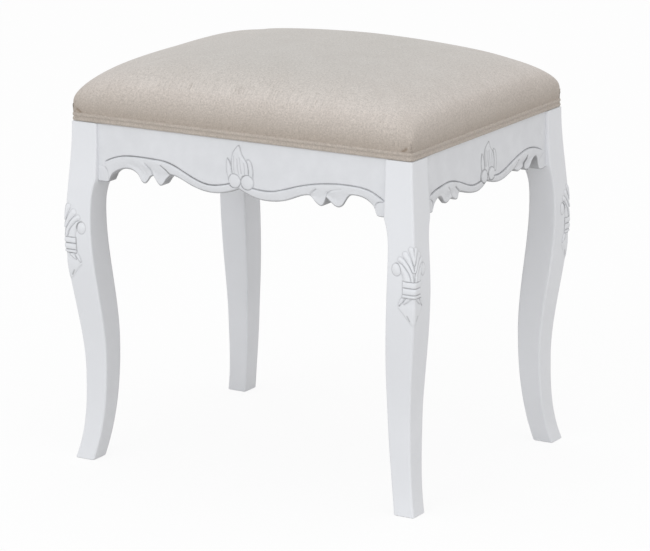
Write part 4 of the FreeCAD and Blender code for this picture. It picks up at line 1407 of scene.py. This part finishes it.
class STOOL_OT_stage(bpy.types.Operator):
    """Make the camera, the white floor, the sky and the lights."""

    bl_idname = "stool.stage"
    bl_label = "Make stage"

    def execute(self, context):
        scene = context.scene
        stage = scene.stool_stage
        right, up, back, place = camera_axes(stage)
        view = bpy.data.cameras.new("camera")
        view.lens = stage.lens
        view.sensor_width = SENSOR_WIDTH
        view.sensor_fit = "HORIZONTAL"
        view.clip_end = 50.0
        camera = bpy.data.objects.new("camera", view)
        camera.matrix_world = Matrix((right, up, back)).transposed().to_4x4()
        camera.location = place
        scene.collection.objects.link(camera)
        scene.camera = camera

        ground = bmesh.new()
        bmesh.ops.create_grid(ground, x_segments=1, y_segments=1, size=FLOOR_HALF)
        data = bpy.data.meshes.new("floor")
        ground.to_mesh(data)
        ground.free()
        floor = bpy.data.objects.new("floor", data)
        floor.location = (0.0, 0.0, -FLOOR_DROP)
        scene.collection.objects.link(floor)
        look = Look("floor_white")
        seen = look.seen()
        warm = [stage.floor * share for share in FLOOR_TINT]
        look.set(Base_Color=look.mix(seen, warm, FLOOR_SEEN), Roughness=1.0, Specular_IOR_Level=0.0)
        glow = look.node("ShaderNodeEmission", {"Color": WHITE, "Strength": 1.0}).outputs[0]
        parts = {0: look.maths("MULTIPLY", seen, FLOOR_GLOW), 1: look.shader.outputs[0], 2: glow}
        surface = look.node("ShaderNodeMixShader", parts).outputs[0]
        look.feed(look.tree.nodes["Material Output"].inputs["Surface"], surface)
        data.materials.append(look.material)

        scene.world = bpy.data.worlds.new("sky")
        sky = Nodes(scene.world)
        background = sky.tree.nodes["Background"].inputs
        sky.feed(background["Color"], WHITE)
        sky.feed(background["Strength"], sky.ramp(sky.seen(), 0.0, 1.0, stage.ambient, 1.0))

        for name, (place, size, tint) in LIGHTS.items():
            add_area_light(name, place, size, getattr(stage, name), tint)
        scene.view_settings.view_transform = "Standard"
        return {"FINISHED"}


class STOOL_PT_panel(bpy.types.Panel):
    """Sizes of the stool and the steps that make it."""

    bl_idname = "STOOL_PT_panel"
    bl_label = "Carved Upholstered Stool"
    bl_space_type = "VIEW_3D"
    bl_region_type = "UI"
    bl_category = "Stool"

    def draw(self, context):
        for step in STEPS:
            self.layout.operator(step.bl_idname)
        for key, group in GROUPS.items():
            box = self.layout.box()
            box.label(text=group.__doc__)
            for name in group.__annotations__:
                box.prop(getattr(context.scene, key), name, text=name.replace("_", " ").capitalize())


STEPS = (
    STOOL_OT_legs,
    STOOL_OT_aprons,
    STOOL_OT_linen_cover,
    STOOL_OT_filling,
    STOOL_OT_welt,
    STOOL_OT_dust_cover,
    STOOL_OT_hidden_parts,
    STOOL_OT_stage,
)


def register():
    """Make the add-on's classes and the scene's sizes known."""
    for item in (*GROUPS.values(), *STEPS, STOOL_PT_panel):
        bpy.utils.register_class(item)
    for key, group in GROUPS.items():
        setattr(bpy.types.Scene, key, PointerProperty(type=group))


def unregister():
    """Take the add-on's classes and the scene's sizes away again."""
    for key in GROUPS:
        delattr(bpy.types.Scene, key)
    for item in reversed((*GROUPS.values(), *STEPS, STOOL_PT_panel)):
        bpy.utils.unregister_class(item)


def main():
    """Make every piece and the stage."""
    register()
    bpy.ops.stool.legs()
    bpy.ops.stool.aprons()
    bpy.ops.stool.linen_cover()
    bpy.ops.stool.filling()
    bpy.ops.stool.welt()
    bpy.ops.stool.dust_cover()
    bpy.ops.stool.hidden_parts()
    bpy.ops.stool.stage()


if __name__ == "__main__":
    main()
